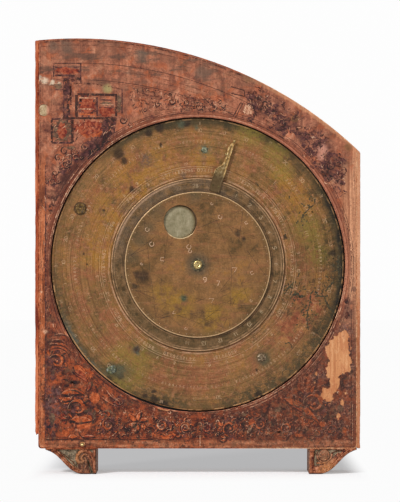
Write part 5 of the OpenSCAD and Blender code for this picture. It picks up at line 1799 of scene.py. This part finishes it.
f = Finish("index_brass", metallic=0.45, seed=150)
blotch = f.noise(1.4, 6, 0.66)
gold = f.ramp(blotch, (0.36, (152, 118, 72)), (0.5, (200, 162, 106)), (0.62, (236, 208, 156)))
olive = f.ramp(blotch, (0.36, (62, 52, 38)), (0.5, (88, 76, 54)), (0.62, (112, 96, 70)))
crest_mask = f.level(f.minus(AGE_Y - 0.66, f.y), -0.24, 0.14)
reach = f.plus(f.radius(), f.times(blotch, 3))
f.colour = f.mix(f.times(f.level(reach, 61.5, 66), f.plus(f.times(crest_mask, 0.9), 0.1)), olive, gold)
f.lay(f.level(f.radius(), 66, 59), (102, 82, 58), 0.8)
f.lay(f.band(f.radius(), 76.2, 77.3, 0.3), (96, 74, 42), 0.5)
f.lay(f.level(f.radius(), 85.6, 86.4), (90, 72, 44), 0.7)
f.lay(f.patches(0.6, 0.68, 0.6, 4, 0.7), (70, 54, 32), 0.7)
index_brass = f.done(f.level(blotch, 0.3, 0.7, 0.3, 0.48), f.noise(0.5, 4, 0.7), 0.08, 0.6)
make_object("sun_pointer", verts, faces, index_brass, "age_disc", replaces=["sun_index"])


def bead(name, u, v, out, radius, squash):
    """A small turned bead on the index."""
    work = bmesh.new()
    bmesh.ops.create_icosphere(work, subdivisions=3, radius=1)
    cx, cy, cz = index_place(u, v, out)
    for vert in work.verts:
        n = vert.co.normalized()
        grow = radius * (1 + 0.05 * noise.noise(n * 2.2))
        vert.co = Vector(((cx + n.x * grow) * MM, (cy + n.y * grow * squash) * MM, (cz + n.z * grow) * MM))
    mesh = bpy.data.meshes.new(name)
    work.to_mesh(mesh)
    work.free()
    for p in mesh.polygons:
        p.use_smooth = True
    mesh.materials.append(PIN)
    keep_piece(name, mesh, "age_disc")


bead("pointer_ball", -0.42, 87.5, 0.8, 0.78, 0.98)
bead("pointer_knob", -3.3, 77.6, 0.55, 0.78, 0.62)
refinish("index_rivets",
    metal("rivet_brass", ((62, 54, 36), (92, 80, 54), (122, 106, 70)), 0.8, 0.5, (0.35, 0.5), seed=156))

# The post and its washers

SHANK_R = 2.2


def hammered_head(r, y, a):
    front = y + 0.05 * sine(a + 30) if y < -19.3 and r < 2 else y
    return r * (1 + 0.018 * sine(2 * a + 40)) if abs(r - SHANK_R) > 0.01 else r, front


lathe("post", [(0, -19.42), (0.9, -19.44), (1.45, -19.6), (1.85, -19.88), (2.15, -19.93), (2.55, -19.8), (2.9, -19.4),
    (3, -18.95), (2.94, -18.7), (SHANK_R, -18.66), (SHANK_R, -2.06), (SHANK_R, -0.86), (3, -0.84), (3, -0.2),
    (2.6, 0.25), (2, 0.42), (0, 0.45)], DIAL, BRIGHT, "board", 72, ["pivot_post"],
    wobble=hammered_head, smooth=True)
GRIMY = metal("washer_brass", ((60, 54, 42), (96, 86, 66), (136, 122, 94)), 1, 0.4, (0.4, 0.6), (50, 44, 34), 160)
for node in ("head_washer", "lower_spacer", "upper_spacer", "rear_rove"):
    bevel_edges(refinish(node, GRIMY), 0.08)

# Floor, light and camera

floor = linked("floor", bpy.data.meshes.new("floor"))
work = bmesh.new()
bmesh.ops.create_grid(work, x_segments=8, y_segments=8, size=4)
work.to_mesh(floor.data)
work.free()


def cleared(owner):
    """A shader for a material or world with nothing in it yet."""
    made = Shader(owner)
    made.tree.nodes.clear()
    return made


def product(f, *values):
    out = values[0]
    for v in values[1:]:
        out = f.math("MULTIPLY", out, v, clamp=True)
    return out


FLOOR_GLOW = 0.2
pale_floor = bpy.data.materials.new("pale_floor")
floor.data.materials.append(pale_floor)
f = cleared(pale_floor)
across, back, _ = f.add("SeparateXYZ", f.add("TexCoord").outputs["Object"]).outputs
aside = f.math("ABSOLUTE", across, 0, clamp=True)
# The sheet is burnt out to white beside and before the object, and a painted shadow, a grey emission that only the
# camera sees, lies behind its feet
white_out = f.math("MAXIMUM", f.level(aside, 0.1, 0.118), f.level(back, 0.02, -0.085), clamp=True)
shade = product(f, f.level(aside, 0.112, 0.084), f.level(back, 0, 0.05), f.level(back, 0.6, 0.35))
seen = f.add("LightPath").outputs["Is Camera Ray"]
diffuse = f.add("BsdfDiffuse", Color=(0.86, 0.865, 0.88, 1))
glow = f.add("Emission", Color=(1, 1, 1, 1), Strength=product(f, seen, FLOOR_GLOW))
lit = f.add("AddShader", diffuse.outputs[0], glow.outputs[0])
# Painted shadow: a flat grey emission mixed in behind the feet for camera rays
grey = f.add("Emission", Color=(0.463, 0.463, 0.47, 1), Strength=1)
painted_shadow = f.add("MixShader", product(f, seen, shade, 0.92), lit.outputs[0], grey.outputs[0])
white = f.add("Emission", Color=(0.97, 0.97, 0.97, 1), Strength=1)
f.add("OutputMaterial", f.add("MixShader", product(f, seen, white_out), painted_shadow.outputs[0], white.outputs[0]).outputs[0])

AMBIENT, FRONT_SHEEN, BACKDROP = 0.36, 0.3, 0.985
world = bpy.data.worlds.new("studio")
bpy.context.scene.world = world
f = cleared(world)
behind = f.add("SeparateXYZ", f.add("TexCoord").outputs["Generated"]).outputs[1]
ray = f.add("LightPath").outputs
sheen = f.add("MapRange", behind, -0.3, 0.5, FRONT_SHEEN, 1)
mirror = f.math("MAXIMUM", ray["Is Glossy Ray"], ray["Is Transmission Ray"], clamp=True)
strength = f.add("Mix", Factor=mirror, A=AMBIENT, B=sheen.outputs[0])
strength = f.add("Mix", Factor=ray["Is Camera Ray"], A=strength.outputs[0], B=BACKDROP)
f.add("OutputWorld", f.add("Background", (1, 1, 1, 1), strength.outputs[0]).outputs[0])


def lamp(name, energy, turn, size):
    light = bpy.data.lights.new(name, "SUN")
    light.energy = energy
    light.angle = math.radians(size)
    linked(name, light).rotation_euler = Vector(turn).to_track_quat("-Z", "Y").to_euler()


lamp("key", 2.6, (0.62, 0.8, -0.72), 10)
lamp("fill", 0.35, (-0.55, 1, -0.35), 40)

# A photo pixel in metres, the photo's height in pixels, and the camera's distance and place
PIXEL, PHOTO_HEIGHT = 0.00068, 502
DISTANCE, CAMERA_X, CAMERA_Z = 1.8, 0.00156, 0.1518
camera = linked("camera", bpy.data.cameras.new("camera"))
camera.data.sensor_width = 36
camera.data.lens = 36 * DISTANCE / (PHOTO_HEIGHT * PIXEL)
camera.data.clip_end = 50
camera.location = (CAMERA_X, WOOD_Y * MM - DISTANCE, CAMERA_Z)
camera.rotation_euler = (math.radians(90), 0, 0)
bpy.context.scene.camera = camera
bpy.context.scene.view_settings.view_transform = "Standard"
